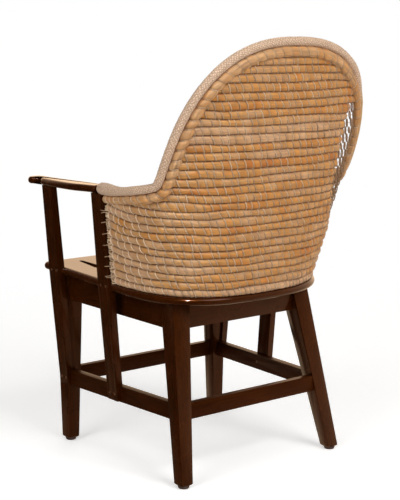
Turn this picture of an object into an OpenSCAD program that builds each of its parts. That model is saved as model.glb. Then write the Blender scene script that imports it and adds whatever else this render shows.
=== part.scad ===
// Dining armchair: a dark wooden frame with a sewn straw back that wraps round the sitter.
// The front faces -Y, the sitter's left is +X, and the chair stands on the plane z = 0.

/* [Seat] */
// Height of the seat top over the middle of the chair
seat_h = 458; // [430:1:485]
// Backward slope of the seat in degrees
seat_slope = 3; // [0:0.5:5]
// Thickness of the seat board
seat_t = 20; // [16:1:26]
// Half width of the seat at its front corners
seat_front_x = 283; // [277:1:290]
// Half width of the seat behind the rear posts
seat_side_x = 272; // [270:1:280]
// Distance of the front edge from the middle
seat_front_y = 262; // [252:1:275]
// Distance of the rear edge from the middle
seat_rear_y = 292; // [292:1:304]
// Radius of the two front corners
seat_corner_r = 12; // [11:1:40]
// Fullness of the rounded rear edge
seat_round = 2.7; // [2.3:0.1:3.2]
// Length of the stopped groove near each side
groove_l = 76; // [40:1:120]
// Width of that groove at its front end
groove_w = 12; // [6:1:16]
// Width of that groove at its rear end
groove_rear_w = 24; // [12:1:30]
// Depth of that groove
groove_d = 5; // [2:0.5:8]
// Distance of that groove from the middle
groove_x = 196; // [150:1:215]

/* [Legs] */
// Side of a leg's square section under the seat
leg_top = 50; // [44:1:56]
// Side of a leg's square section at the floor
leg_foot = 31; // [26:1:38]
// Outer face of a front leg at the floor
front_foot_x = 258; // [250:1:270]
// Outer face of a front leg under the seat
front_top_x = 265; // [258:1:268]
// Distance of a front leg's rear face from the middle at the floor
front_foot_y = 190; // [180:1:200]
// Distance of a front leg's rear face from the middle under the seat
front_top_y = 180; // [172:1:190]
// Outer face of a rear leg at the floor
rear_foot_x = 252.5; // [236:1:264]
// Outer face of a rear leg under the seat
rear_top_x = 212; // [204:1:226]
// Rear face of a rear leg at the floor
rear_foot_y = 288; // [260:1:300]
// Rear face of a rear leg under the seat
rear_top_y = 199; // [190:1:215]
// Chamfer round the foot of each leg
foot_chamfer = 3.5; // [1:0.5:5]
// Diameter of the round pad under each leg
pad_d = 28; // [22:1:34]
// Thickness of that pad
pad_h = 7; // [6:1:12]
// Rounding of the pad's lower edge
pad_round = 5; // [2:0.5:6]
// Diameter of the pad's pin
pad_pin_d = 4; // [2:0.5:6]
// Length of that pin in the leg
pad_pin_l = 16; // [8:1:20]

/* [Rails] */
// Depth of the four rails under the seat
apron_h = 67; // [56:1:78]
// Thickness of those rails
apron_t = 20; // [16:1:22]
// Step from a leg's face in to a rail's face
rail_inset = 4; // [1:0.5:6]
// Height of the top of the four stretchers
stretcher_top = 194; // [175:1:235]
// Depth of a stretcher
stretcher_h = 40; // [32:1:46]
// Thickness of a stretcher
stretcher_t = 18; // [14:1:20]
// Thickness of a rail's tenon
tenon_t = 8; // [6:1:10]
// Length of a seat rail's tenon
apron_tenon_l = 20; // [12:1:22]
// Length of a stretcher's tenon
stretcher_tenon_l = 14; // [10:1:16]
// Shoulder left above and below a tenon
tenon_shoulder = 7; // [4:1:10]
// Leg of the right angle of a corner block
block_w = 74; // [66:1:84]
// Height of a corner block
block_h = 34; // [24:1:44]
// Drop of a corner block below the seat
block_drop = 1; // [0.5:0.5:6]

/* [Posts] */
// Thickness of an arm post
post_t = 18; // [16:1:20]
// Width of a front arm post at its foot
post_w_foot = 36; // [30:1:40]
// Width of a rear arm post at its foot
rear_post_w_foot = 42; // [36:1:46]
// Width of an arm post where it passes the seat
post_w_seat = 46; // [42:1:52]
// Width of an arm post under the arm
post_w_top = 40; // [34:1:44]
// Outward lean of the posts in degrees
post_lean = 4.8; // [4.4:0.1:5.2]
// Height of the foot of the posts
post_foot_z = 156; // [150:1:160]
// Outer face of a front post at the height of the seat
front_post_x = 289; // [286:1:292]
// Middle of the front posts in front of the chair's middle
front_post_y = 199; // [196:1:206]
// Outer face of a rear post at the height of the seat
rear_post_x = 278; // [276:1:281]
// Middle of the rear posts behind the chair's middle
rear_post_y = 6; // [0:1:16]
// Diameter of the pegs through the posts
peg_d = 7; // [5:0.5:8]
// Length of a peg
peg_l = 28; // [24:1:32]
// Distance between the two pegs of a joint
peg_pitch = 21; // [16:1:24]
// How far a peg's head stands out of the post
peg_proud = 0.8; // [0.2:0.2:2]

/* [Arms] */
// Rise of the arm's top above the seat
arm_rise = 235; // [225:1:245]
// Thickness of an arm
arm_t = 18; // [16:1:22]
// Rounding of an arm's edges
arm_edge_r = 8; // [2:0.5:8.5]
// Overhang of the arm past the front post's outer face
arm_overhang = 2; // [1:0.5:6]
// Width of an arm where it meets the wrapped rim
arm_tail_w = 36; // [32:1:42]
// Length of an arm in front of the front post's middle
arm_nose_l = 85; // [78:1:95]
// Diameter of the round tail that runs into the wrapped rim
tail_d = 11.6; // [9:0.2:11.6]
// Thickness of a post's tenon in the arm
arm_tenon_t = 9; // [6:1:10]
// Height of a post's tenon in the arm
arm_tenon_h = 11; // [6:1:13]

/* [Straw back] */
// Height of the rows at the middle of the back
rows_h = 541; // [500:1:570]
// Drop from an arm's middle line to the end of the rows at its side
wing_drop = 30.7; // [28:0.1:34]
// Rise of the side's top edge for each unit of length towards the back
wing_rise = 0.17; // [0:0.01:0.3]
// Steepness of the sloping cut that gives the arch, as rise over run
cut_steep = 2.83; // [2.5:0.01:3.1]
// Softness of the hollow where the arm line turns up into the arch
hollow_soft = 32; // [20:1:36]
// Half width of the straw at the seat
straw_x = 271; // [266:1:271]
// Outward flare of the rear corners for each unit of height
flare = 0.44; // [0.38:0.01:0.5]
// Half width of the straw's front edge at the seat
straw_front_x = 268; // [265:1:270]
// Outward flare of the front edge for each unit of height
front_flare = 0.098; // [0.06:0.002:0.12]
// Distance of the straw's rear from the middle at the seat
straw_rear_y = 291; // [285:1:292]
// Backward rake of the back for each unit of height at the seat
rake = 0.21; // [0.14:0.005:0.22]
// Easing of that rake towards the top, in thousandths
rake_ease = 0.075; // [0:0.005:0.08]
// Fullness of the back's plan curve
straw_round = 2.54; // [2.3:0.01:2.7]
// Thickness of the sewn rows
straw_t = 16; // [13:0.5:18]
// Depth of the coils' centre line behind the face of the rows
coil_depth = 3; // [2:0.5:8]
// Height of one sewn row
row_pitch = 18.8; // [16:0.2:24]
// Depth of the furrow between two rows
furrow = 3; // [1:0.5:4]
// Radius of the thick coil that borders the rows
coil_r = 12; // [9:0.5:13]
// Radius of that coil at the rear posts
coil_end_r = 9; // [7:0.5:10]
// Radius of the wrapped rim round the arch
rim_r = 10.5; // [9:0.5:12]
// Radius of the wrapped rim at its thick ends
rim_end_r = 15; // [13:0.5:16]
// Radius of the cane hoop inside the rim
hoop_r = 6.5; // [5:0.5:6.5]
// Running gap between neighbouring coils
coil_gap = 0.3; // [0.2:0.05:0.5]

/* [Fasteners] */
// Shank diameter of the wood screws
screw_d = 4; // [3:0.5:5]
// Head diameter of the wood screws
screw_head_d = 8; // [6:0.5:9]
// Length of a screw that holds the seat to a corner block
seat_screw_l = 44; // [40:1:48]
// Length of a screw that holds a corner block to a rail
block_screw_l = 34; // [30:1:36]

/* [Hidden] */
fit = 0.15;
eps = 0.01;
far = 900;
slope = tan(seat_slope);
lean = tan(post_lean);
under_z = seat_h - seat_t;
arm_z = seat_h + arm_rise - arm_t;
wood = "#3a1a0c";
pale_wood = "#a9784a";
straw_c = "#c0935c";
coil_c = "#a9824f";
rim_c = "#bba183";
steel_c = "#b9b9b4";
rubber_c = "#1c1613";
stretcher_mid = stretcher_top - stretcher_h / 2;
apron_mid = under_z - apron_h / 2;

// A measure that runs evenly from its value at the floor to its value under the seat
function along(foot, top, z) = foot + (top - foot) * z / under_z;
function leg_side(z) = along(leg_foot, leg_top, z);
function front_x(z) = along(front_foot_x, front_top_x, z);
function front_y(z) = -along(front_foot_y, front_top_y, z);
function rear_x(z) = along(rear_foot_x, rear_top_x, z);
function rear_y(z) = along(rear_foot_y, rear_top_y, z);
function post_out(x_seat, z) = x_seat + lean * (z - seat_h);
function unit(v) = v / norm(v);
function sgn(v) = v < 0 ? -1 : 1;
function mix(a, b, t) = a + (b - a) * t;
function smooth(t) = let (u = min(1, max(0, t))) u * u * (3 - 2 * u);

module on_side(side) mirror([side == "left" ? 0 : 1, 0, 0]) children();
module on_seat() translate([0, 0, seat_h]) rotate([-seat_slope, 0, 0]) children();

// A board with rounded edges from one outline: layers drawn in along the outline's own normals
function corner_normal(p, i) =
    let (n = len(p), a = unit(p[i] - p[(i + n - 1) % n]), b = unit(p[(i + 1) % n] - p[i]))
    unit([a[1] + b[1], -a[0] - b[0]]);
function drawn_in(p, d) = [for (i = [0:len(p) - 1]) p[i] - corner_normal(p, i) * d];
// Its flat faces are laddered between the two sides, which run the same way along y from one end
function side_first(p, s, way) = way * p[s[0] + 1][1] <= way * p[s[1] - 1][1];
function ladder(p, way) = [for (s = [0, len(p) - 1]; s[1] - s[0] > 1;
    s = side_first(p, s, way) ? [s[0] + 1, s[1]] : [s[0], s[1] - 1])
    [s[0], side_first(p, s, way) ? s[0] + 1 : s[1] - 1, s[1]]];
module rounded_board(outline, t, r, steps, way) {
    n = len(outline);
    angles = [for (k = [0:steps]) 90 * k / steps];
    low = [for (a = angles) [r * (1 - sin(a)), r * (1 - cos(a))]];
    high = [for (k = [steps:-1:0]) [low[k][0], t - low[k][1]]];
    layers = 2 * r < t ? concat(low, high) : concat(low, [for (k = [1:steps]) high[k]]);
    last = len(layers) - 1;
    points = [for (l = layers) for (q = drawn_in(outline, l[0])) [q[0], q[1], l[1]]];
    walls = [for (k = [0:last - 1]) for (i = [0:n - 1])
        let (j = (i + 1) % n, a = k * n + i, b = k * n + j)
        each [[a, a + n, b], [b, a + n, b + n]]];
    bottom = ladder(drawn_in(outline, r), way);
    top = [for (f = bottom) [f[2], f[1], f[0]] + [last * n, last * n, last * n]];
    polyhedron(points, concat(bottom, top, walls), convexity = 6);
}

// Seat board
function seat_half() = concat(
    [for (a = [0:7.5:90]) [seat_side_x * pow(sin(a), 2 / seat_round),
        seat_mid_y + (seat_rear_y - seat_mid_y) * pow(max(0, cos(a)), 2 / seat_round)]],
    [[seat_side_x, 0]],
    [for (a = [0:22.5:90]) [seat_front_x - seat_corner_r * (1 - cos(a)),
        -seat_front_y + seat_corner_r * (1 - sin(a))]]);
seat_mid_y = 40;
seat_outline = let (h = seat_half(), m = len(h))
    concat([for (k = [m - 1:-1:0]) h[k]], [for (k = [1:m - 1]) [-h[k][0], h[k][1]]]);
groove_start = 14;
module groove() {
    translate([groove_x, -front_post_y - groove_start, -groove_d])
        linear_extrude(groove_d + 1) hull() {
            circle(d = groove_w, $fn = 24);
            translate([0, groove_l]) circle(d = groove_rear_w, $fn = 32);
        }
}
module seat_board() color(wood) difference() {
    on_seat() translate([0, 0, -seat_t]) rounded_board(seat_outline, seat_t, seat_t / 2, 3, 1);
    for (side = ["left", "right"]) on_side(side) {
        post_blank(front_post_x, -front_post_y, fit);
        post_blank(rear_post_x, rear_post_y, fit);
        seat_pegs(fit);
        on_seat() groove();
        seat_screw_holes("front");
        seat_screw_holes("rear");
    }
}

// Legs: two tapered profiles crossed, cut off by the underside of the seat
module taper(foot, top) {
    rise = under_z + 40;
    low = pad_h + foot_chamfer;
    inner = function (z) along(foot, top, z) - leg_side(z);
    polygon([[inner(low) + foot_chamfer, pad_h], [along(foot, top, low) - foot_chamfer, pad_h],
        [along(foot, top, low), low], [along(foot, top, rise), rise],
        [inner(rise), rise], [inner(low), low]]);
}
module across(foot, top) translate([0, far / 2, 0]) rotate([90, 0, 0]) linear_extrude(far) taper(foot, top);
module along_y(foot, top) rotate([90, 0, 90]) linear_extrude(far) taper(foot, top);
module leg_blank(foot_x, top_x, foot_y, top_y) difference() {
    intersection() {
        across(foot_x, top_x);
        along_y(foot_y, top_y);
    }
    on_seat() translate([-far / 2, -far / 2, -seat_t]) cube(far);
}
front_rear_face = [-front_foot_y, -front_top_y];
module front_leg_blank() leg_blank(front_foot_x, front_top_x, front_rear_face[0], front_rear_face[1]);
module rear_leg_blank() leg_blank(rear_foot_x, rear_top_x, rear_foot_y, rear_top_y);
module side_shoulders() {
    along_y(front_rear_face[0], front_rear_face[1]);
    along_y(rear_foot_y, rear_top_y);
}
module front_leg(side) color(wood) on_side(side) difference() {
    front_leg_blank();
    post_blank(front_post_x, -front_post_y, fit);
    foot_pegs(front_post_x, -front_post_y, fit);
    side_apron_tenons(fit);
    side_stretcher_tenons(fit);
    cross_tenon(apron_cross_front, fit);
    cross_tenon(stretcher_cross_front, fit);
    pad_pin(front_mid, fit);
}
module rear_leg(side) color(wood) on_side(side) difference() {
    rear_leg_blank();
    side_apron_tenons(fit);
    side_stretcher_tenons(fit);
    cross_tenon(apron_cross_rear, fit);
    cross_tenon(stretcher_cross_rear, fit);
    pad_pin(rear_mid, fit);
}

// Pads: a thick disc with a rounded edge and a pin under each foot
front_mid = [front_foot_x - leg_foot / 2, -front_foot_y - leg_foot / 2];
rear_mid = [along(rear_foot_x, rear_top_x, pad_h), along(rear_foot_y, rear_top_y, pad_h)]
    - [leg_foot, leg_foot] / 2;
module pad_pin(at, gap) translate([at[0], at[1], pad_h - 1])
    cylinder(d = pad_pin_d + 2 * gap, h = pad_pin_l + 1 + gap, $fn = 20);
module pad(at) {
    r = pad_d / 2;
    translate([at[0], at[1], 0]) rotate_extrude($fn = 32) polygon(concat([[0, 0]],
        [for (a = [0:30:90]) [r - pad_round * (1 - sin(a)), pad_round * (1 - cos(a))]],
        [[r, pad_h - 1], [r - 1, pad_h], [0, pad_h]]));
    pad_pin(at, 0);
}
module foot_pads() color(rubber_c)
    for (side = ["left", "right"]) for (at = [front_mid, rear_mid]) on_side(side) pad(at);

// Side rails: a straight board from leg to leg, its shoulders scribed to the legs
function rail_line(z) = [[front_x(z) - rail_inset, front_y(z) - leg_side(z) / 2],
    [rear_x(z) - rail_inset, rear_y(z) - leg_side(z) / 2]];
module rail_bar(line, t, h, from, length) {
    run = line[1] - line[0];
    translate([line[0][0], line[0][1], 0]) rotate([0, 0, -atan2(run[0], run[1])])
        translate([-t, from, 0]) cube([t, length, h]);
}
side_apron_line = rail_line(apron_mid);
side_stretcher_line = rail_line(stretcher_mid);
apron_run = norm(side_apron_line[1] - side_apron_line[0]);
stretcher_run = norm(side_stretcher_line[1] - side_stretcher_line[0]);
apron_shoulder = leg_side(apron_mid) / 2;
stretcher_shoulder = leg_side(stretcher_mid) / 2;
module side_apron_tenons(gap) {
    inset = (apron_t - tenon_t) / 2;
    on_seat() translate([0, 0, -seat_t - apron_h + tenon_shoulder - gap])
        rail_bar([for (p = side_apron_line) p - [inset - gap, 0]], tenon_t + 2 * gap,
            apron_h - 2 * tenon_shoulder + 2 * gap, apron_shoulder - apron_tenon_l - gap,
            apron_run - 2 * apron_shoulder + 2 * apron_tenon_l + 2 * gap);
}
module side_stretcher_tenons(gap) {
    inset = (stretcher_t - tenon_t) / 2;
    translate([0, 0, stretcher_top - stretcher_h + tenon_shoulder - gap])
        rail_bar([for (p = side_stretcher_line) p - [inset - gap, 0]], tenon_t + 2 * gap,
            stretcher_h - 2 * tenon_shoulder + 2 * gap, stretcher_shoulder - stretcher_tenon_l - gap,
            stretcher_run - 2 * stretcher_shoulder + 2 * stretcher_tenon_l + 2 * gap);
}
module side_apron(side) color(wood) on_side(side) difference() {
    union() {
        difference() {
            on_seat() translate([0, 0, -seat_t - apron_h])
                rail_bar(side_apron_line, apron_t, apron_h, 0, apron_run);
            side_shoulders();
        }
        side_apron_tenons(0);
    }
    block_screw_holes("front");
    block_screw_holes("rear");
}
module side_stretcher(side) color(wood) on_side(side) difference() {
    union() {
        difference() {
            translate([0, 0, stretcher_top - stretcher_h])
                rail_bar(side_stretcher_line, stretcher_t, stretcher_h, 0, stretcher_run);
            side_shoulders();
        }
        side_stretcher_tenons(0);
    }
    post_blank(rear_post_x, rear_post_y, fit);
    foot_pegs(rear_post_x, rear_post_y, fit);
    post_blank(front_post_x, -front_post_y, fit);
    foot_pegs(front_post_x, -front_post_y, fit);
}

// Cross rails: each one is [face that looks out, thickness, depth, foot, shoulder x, tenon, tilted]
apron_cross_front = [front_y(apron_mid) - leg_side(apron_mid) + rail_inset, apron_t, apron_h,
    -seat_t - apron_h, front_x(apron_mid) - leg_side(apron_mid), apron_tenon_l, true];
apron_cross_rear = [rear_y(apron_mid) - rail_inset - apron_t, apron_t, apron_h,
    -seat_t - apron_h, rear_x(apron_mid) - leg_side(apron_mid), apron_tenon_l, true];
front_x_pair = [front_foot_x, front_top_x];
rear_x_pair = [rear_foot_x, rear_top_x];
stretcher_cross_front = [front_y(stretcher_mid) - leg_side(stretcher_mid) + rail_inset, stretcher_t,
    stretcher_h, stretcher_top - stretcher_h, front_x(stretcher_mid) - leg_side(stretcher_mid),
    stretcher_tenon_l, false];
stretcher_cross_rear = [rear_y(stretcher_mid) - rail_inset - stretcher_t, stretcher_t,
    stretcher_h, stretcher_top - stretcher_h, rear_x(stretcher_mid) - leg_side(stretcher_mid),
    stretcher_tenon_l, false];
module cross_bar(c, half, y0, t, z0, h) {
    if (c[6]) on_seat() translate([-half, y0, z0]) cube([2 * half, t, h]);
    else translate([-half, y0, z0]) cube([2 * half, t, h]);
}
module cross_tenon(c, gap) cross_bar(c, c[4] + c[5] + gap, c[0] + (c[1] - tenon_t) / 2 - gap,
    tenon_t + 2 * gap, c[3] + tenon_shoulder - gap, c[2] - 2 * tenon_shoulder + 2 * gap);
module cross_rail(c, pair) {
    difference() {
        cross_bar(c, c[4] + leg_foot / 2, c[0], c[1], c[3], c[2]);
        for (side = ["left", "right"]) on_side(side) across(pair[0], pair[1]);
    }
    cross_tenon(c, 0);
}
module front_apron() color(wood) difference() {
    cross_rail(apron_cross_front, front_x_pair);
    for (side = ["left", "right"]) on_side(side) block_screw_holes("front");
}
module rear_apron() color(wood) difference() {
    cross_rail(apron_cross_rear, rear_x_pair);
    for (side = ["left", "right"]) on_side(side) block_screw_holes("rear");
}
module front_stretcher() color(wood) cross_rail(stretcher_cross_front, front_x_pair);
module rear_stretcher() color(wood) cross_rail(stretcher_cross_rear, rear_x_pair);

// Arm posts: leaning boards, widest where they pass the seat, let into seat, leg and stretcher
module post_blank(x_seat, y_mid, gap) intersection() {
    x = function (z) post_out(x_seat, z);
    foot = y_mid < -100 ? post_w_foot : rear_post_w_foot;
    translate([0, far / 2, 0]) rotate([90, 0, 0]) linear_extrude(far) polygon([
        [x(post_foot_z - gap) - post_t - gap, post_foot_z - gap],
        [x(post_foot_z - gap) + gap, post_foot_z - gap],
        [x(arm_z) + gap, arm_z], [x(arm_z) - post_t - gap, arm_z]]);
    rotate([90, 0, 90]) linear_extrude(far) polygon([
        [y_mid - foot / 2 - gap, post_foot_z - gap],
        [y_mid + foot / 2 + gap, post_foot_z - gap],
        [y_mid + post_w_seat / 2 + gap, seat_h], [y_mid + post_w_top / 2 + gap, arm_z],
        [y_mid - post_w_top / 2 - gap, arm_z], [y_mid - post_w_seat / 2 - gap, seat_h]]);
}
module post_tenon(x_seat, y_mid, length, gap)
    translate([post_out(x_seat, arm_z) - (post_t + arm_tenon_t) / 2 - gap,
        y_mid - length / 2 - gap, arm_z - 1])
        cube([arm_tenon_t + 2 * gap, length + 2 * gap, arm_tenon_h + 1 + gap]);
front_tenon_l = 22;
rear_tenon_l = 10;
rear_tenon_y = rear_post_y - post_w_top / 2 + 3 + rear_tenon_l / 2;
module front_tenon(gap) post_tenon(front_post_x, -front_post_y, front_tenon_l, gap);
module rear_tenon(gap) post_tenon(rear_post_x, rear_tenon_y, rear_tenon_l, gap);
module front_post(side) color(wood) on_side(side) difference() {
    union() {
        post_blank(front_post_x, -front_post_y, 0);
        front_tenon(0);
    }
    foot_pegs(front_post_x, -front_post_y, fit);
    seat_pegs(fit);
}
module rear_post(side) color(wood) on_side(side) difference() {
    union() {
        post_blank(rear_post_x, rear_post_y, 0);
        rear_tenon(0);
    }
    foot_pegs(rear_post_x, rear_post_y, fit);
    seat_pegs(fit);
    rim_end_room();
}

// Pegs: two through each post into the seat's edge and two at its foot
module peg_pair(x_out, y_mid, z, gap) for (s = [-1, 1])
    translate([x_out + peg_proud, y_mid + s * peg_pitch / 2, z]) rotate([0, -90, 0])
        cylinder(d = peg_d + 2 * gap, h = peg_l + gap, $fn = 24);
module foot_pegs(x_seat, y_mid, gap) peg_pair(post_out(x_seat, stretcher_mid), y_mid, stretcher_mid, gap);
function edge_z(y) = seat_h - slope * y - seat_t / 2;
module seat_pegs(gap) {
    peg_pair(post_out(front_post_x, edge_z(-front_post_y)), -front_post_y, edge_z(-front_post_y), gap);
    peg_pair(post_out(rear_post_x, edge_z(rear_post_y)), rear_post_y, edge_z(rear_post_y), gap);
}
module post_pegs() color(pale_wood) for (side = ["left", "right"]) on_side(side) {
    foot_pegs(front_post_x, -front_post_y, 0);
    foot_pegs(rear_post_x, rear_post_y, 0);
    seat_pegs(0);
}

// Straw back: a flared shell with one furrow for every sewn row, cut off by a sloping plane.
// phi runs from 0 at the middle of the back to 90 at the front edge of a side, h up the rows.
straw_y0 = rear_post_y + post_w_seat / 2 + coil_gap;
half_cols = 21;
level_at = [0, 0.5];
level_in = [furrow, 0];
levels = len(level_at);
fade_h = 600;
fan = 0.05;
wing_h = (arm_rise - arm_t / 2 - wing_drop) / (1 + fan);
side_pull = 1.28;
table_steps = 90;
function straw_s(phi) = pow(abs(sin(phi)), 2 / straw_round);
function straw_c(phi) = pow(abs(cos(phi)), 2 / straw_round);
function straw_w(phi) = pow(1 - straw_c(phi), side_pull);
function straw_r(h) = straw_rear_y + rake * h - rake_ease / 1000 * h * h;
function straw_plan(phi, h) = let (w = straw_w(phi), a = straw_x + flare * h,
    f = straw_front_x + front_flare * h, r = straw_r(h))
    [sgn(phi) * straw_s(phi) * mix(a, f, w), straw_y0 + (r - straw_y0) * straw_c(phi)];
function straw_out(phi, h) =
    let (a = straw_plan(max(-90, phi - 0.5), h), b = straw_plan(min(90, phi + 0.5), h))
    unit([a[1] - b[1], b[0] - a[0]]);
function straw_at(phi, h, depth) = let (q = straw_plan(phi, h) - depth * straw_out(phi, h))
    [q[0], q[1], seat_h - slope * q[1] * (1 - h / fade_h) + h * (1 + fan * straw_w(phi))];
function arm_line(phi) = wing_h + wing_rise * (straw_rear_y - straw_y0) * straw_c(phi);
function arch_line(phi) = let (c = cut_steep * straw_c(phi), b = 1 - rake * c,
    d = rows_h - cut_steep * (straw_r(rows_h) - straw_y0) + c * (straw_rear_y - straw_y0))
    2 * d / (b + sqrt(max(0, b * b + 4 * c * rake_ease / 1000 * d)));
function edge_h(phi) = let (a = arm_line(phi), b = arch_line(phi))
    (a + b) / 2 + sqrt((a - b) * (a - b) / 4 + hollow_soft * hollow_soft);
function edge_at(phi) = straw_at(phi, edge_h(phi), coil_depth);
function table_phi(k) = 90 * pow(k / table_steps, 1.35);
elbow_phi = max([for (k = [0:90]) arch_line(k) > arm_line(k) ? k : 0]);
elbow_crowd = 1.3;
function crowding(phi) = 1 + elbow_crowd * exp(-pow((phi - elbow_phi) / 7, 2));
edge_table = [for (k = 0, s = 0; k <= table_steps;
    k = k + 1, s = s + crowding(table_phi(k)) * norm(edge_at(table_phi(k)) - edge_at(table_phi(k - 1))))
    [s, table_phi(k)]];
edge_run = edge_table[table_steps][0];
phis = [for (i = [-half_cols:half_cols]) sgn(i) * lookup(edge_run * abs(i) / half_cols, edge_table)];
cols = len(phis);
function level_h(l) = (floor(l / levels) + level_at[l % levels]) * row_pitch;
function level_count(top) = max([for (l = [0:150]) level_h(l) < top - 4 ? l : 0]) + 1;
counts = [for (phi = phis) level_count(edge_h(phi))];
starts = [for (i = 0, s = 0; i <= cols; s = s + (i < cols ? counts[i] + 1 : 0), i = i + 1) s];
function column(i, inner) = let (phi = phis[i], n = counts[i]) [for (l = [0:n])
    let (h = l < n ? level_h(l) : edge_h(phi), d = l < n ? level_in[l % levels] : 0)
    straw_at(phi, h, inner ? straw_t - d : d)];
module straw_shell() {
    total = starts[cols];
    points = concat([for (i = [0:cols - 1]) each column(i, false)],
        [for (i = [0:cols - 1]) each column(i, true)]);
    skin = [for (i = [0:cols - 2]) let (a = starts[i], b = starts[i + 1], m = min(counts[i], counts[i + 1]))
        each concat(
            [for (l = [0:m - 1]) each [[a + l, a + l + 1, b + l], [b + l, a + l + 1, b + l + 1]]],
            counts[i] > m ? [for (l = [m:counts[i] - 1]) [a + l, a + l + 1, b + m]] : [],
            counts[i + 1] > m ? [for (l = [m:counts[i + 1] - 1]) [b + l, a + m, b + l + 1]] : [])];
    top = [for (i = [0:cols - 1]) starts[i] + counts[i]];
    loop = concat([for (i = [0:cols - 1]) starts[i]],
        [for (l = [1:counts[cols - 1]]) starts[cols - 1] + l],
        [for (i = [cols - 2:-1:0]) top[i]], [for (l = [counts[0] - 1:-1:1]) starts[0] + l]);
    n = len(loop);
    band = [for (k = [0:n - 1]) let (a = loop[k], b = loop[(k + 1) % n])
        each [[a, b, a + total], [b, b + total, a + total]]];
    polyhedron(points, concat(skin, [for (f = skin) [f[0], f[2], f[1]] + [total, total, total]], band),
        convexity = 10);
}
module straw_back() color(straw_c) straw_shell();

// Frames along the top edge of the rows: place, direction, outward face and the way up in the sheet
function edge_dir(i) = unit(edge_at(phis[min(cols - 1, i + 1)]) - edge_at(phis[max(0, i - 1)]));
function edge_frame(i) = let (t = edge_dir(i), phi = phis[i], h = edge_h(phi),
    u = straw_at(phi, h + 1, coil_depth) - straw_at(phi, h, coil_depth), out = unit(cross(u, t)))
    [edge_at(phi), t, out, cross(t, out)];
frames = [for (i = [0:cols - 1]) edge_frame(i)];
function wing_part(phi) = smooth((abs(phi) - 50) / 35);
function coil_radius(phi) = mix(coil_r, coil_end_r, wing_part(phi));
function end_part(phi) = smooth((abs(phi) - 70) / 20);
function rim_radius(phi) = mix(rim_r, rim_end_r, end_part(phi));
function coil_place(i) = frames[i][0] + frames[i][3] * (coil_gap + coil_radius(phis[i]));
function rim_place(i) = frames[i][0]
    + frames[i][3] * (2 * coil_gap + 2 * coil_radius(phis[i]) + rim_radius(phis[i]));
coil_path = [for (i = [0:cols - 1]) coil_place(i)];
rim_path = [for (i = [0:cols - 1]) rim_place(i)];
rim_ext = 28;
rim_dir = unit(rim_path[cols - 1] - rim_path[cols - 2]);
rim_start = rim_path[cols - 1] + rim_dir * rim_ext;
function to_dir(d) = [0, acos(d[2]), atan2(d[1], d[0])];
function ring(c, out, up, r, sides, turn) = [for (k = [0:sides - 1])
    let (a = 360 * (k + turn) / sides) c + out * r * cos(a) + up * r * sin(a)];
function rung(n, a, b, flip) = [for (i = [0:n - 1]) let (j = (i + 1) % n)
    each flip ? [[a + i, a + j, b + i], [a + j, b + j, b + i]]
        : [[a + i, b + i, a + j], [a + j, b + i, b + j]]];
module tube(rings) {
    n = len(rings[0]);
    last = len(rings) - 1;
    walls = [for (k = [0:last - 1]) each rung(n, k * n, (k + 1) * n, false)];
    polyhedron([for (r = rings) each r],
        concat(walls, [[for (i = [0:n - 1]) i], [for (i = [n - 1:-1:0]) last * n + i]]), convexity = 10);
}
module pipe(outer, inner) {
    n = len(outer[0]);
    last = len(outer) - 1;
    m = n * (last + 1);
    polyhedron(concat([for (r = outer) each r], [for (r = inner) each r]), concat(
        [for (k = [0:last - 1]) each rung(n, k * n, (k + 1) * n, false)],
        [for (k = [0:last - 1]) each rung(n, m + k * n, m + (k + 1) * n, true)],
        rung(n, 0, m, true), rung(n, last * n, m + last * n, false)), convexity = 10);
}
module border_coil() color(coil_c) tube([for (i = [0:cols - 1])
    ring(coil_path[i], frames[i][2], frames[i][3], coil_radius(phis[i]), 8, 0.5)]);
module rim_hoop() color(pale_wood) tube([for (i = [0:cols - 1])
    ring(rim_path[i], frames[i][2], frames[i][3], hoop_r, 8, 0.5)]);
bore_min = hoop_r + 3;
function ball(e) = let (u = max(0, e - rim_ext + rim_end_r))
    sqrt(max(rim_end_r * rim_end_r - u * u, bore_min * bore_min));
end_at = [rim_ext, rim_ext - rim_end_r * 0.4, rim_ext - rim_end_r];
function rim_end(i, next) = let (d = unit(rim_path[i] - rim_path[next]))
    [for (e = end_at) [rim_path[i] + e * d, i, ball(e)]];
rim_stations = concat(rim_end(0, 1), [for (i = [0:cols - 1]) [rim_path[i], i, rim_radius(phis[i])]],
    let (e = rim_end(cols - 1, cols - 2)) [e[2], e[1], e[0]]);
rim_rings = [for (p = rim_stations) ring(p[0], frames[p[1]][2], frames[p[1]][3], p[2], 8, 0.5)];
bore_rings = [for (p = rim_stations) ring(p[0], frames[p[1]][2], frames[p[1]][3], hoop_r + fit, 8, 0.5)];
module wrapped_rim() color(rim_c) pipe(rim_rings, bore_rings);
module rim_end_room() translate(rim_start) rotate(to_dir(-rim_dir))
    cylinder(r = rim_end_r + coil_gap, h = rim_ext * 2, $fn = 32);

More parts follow.
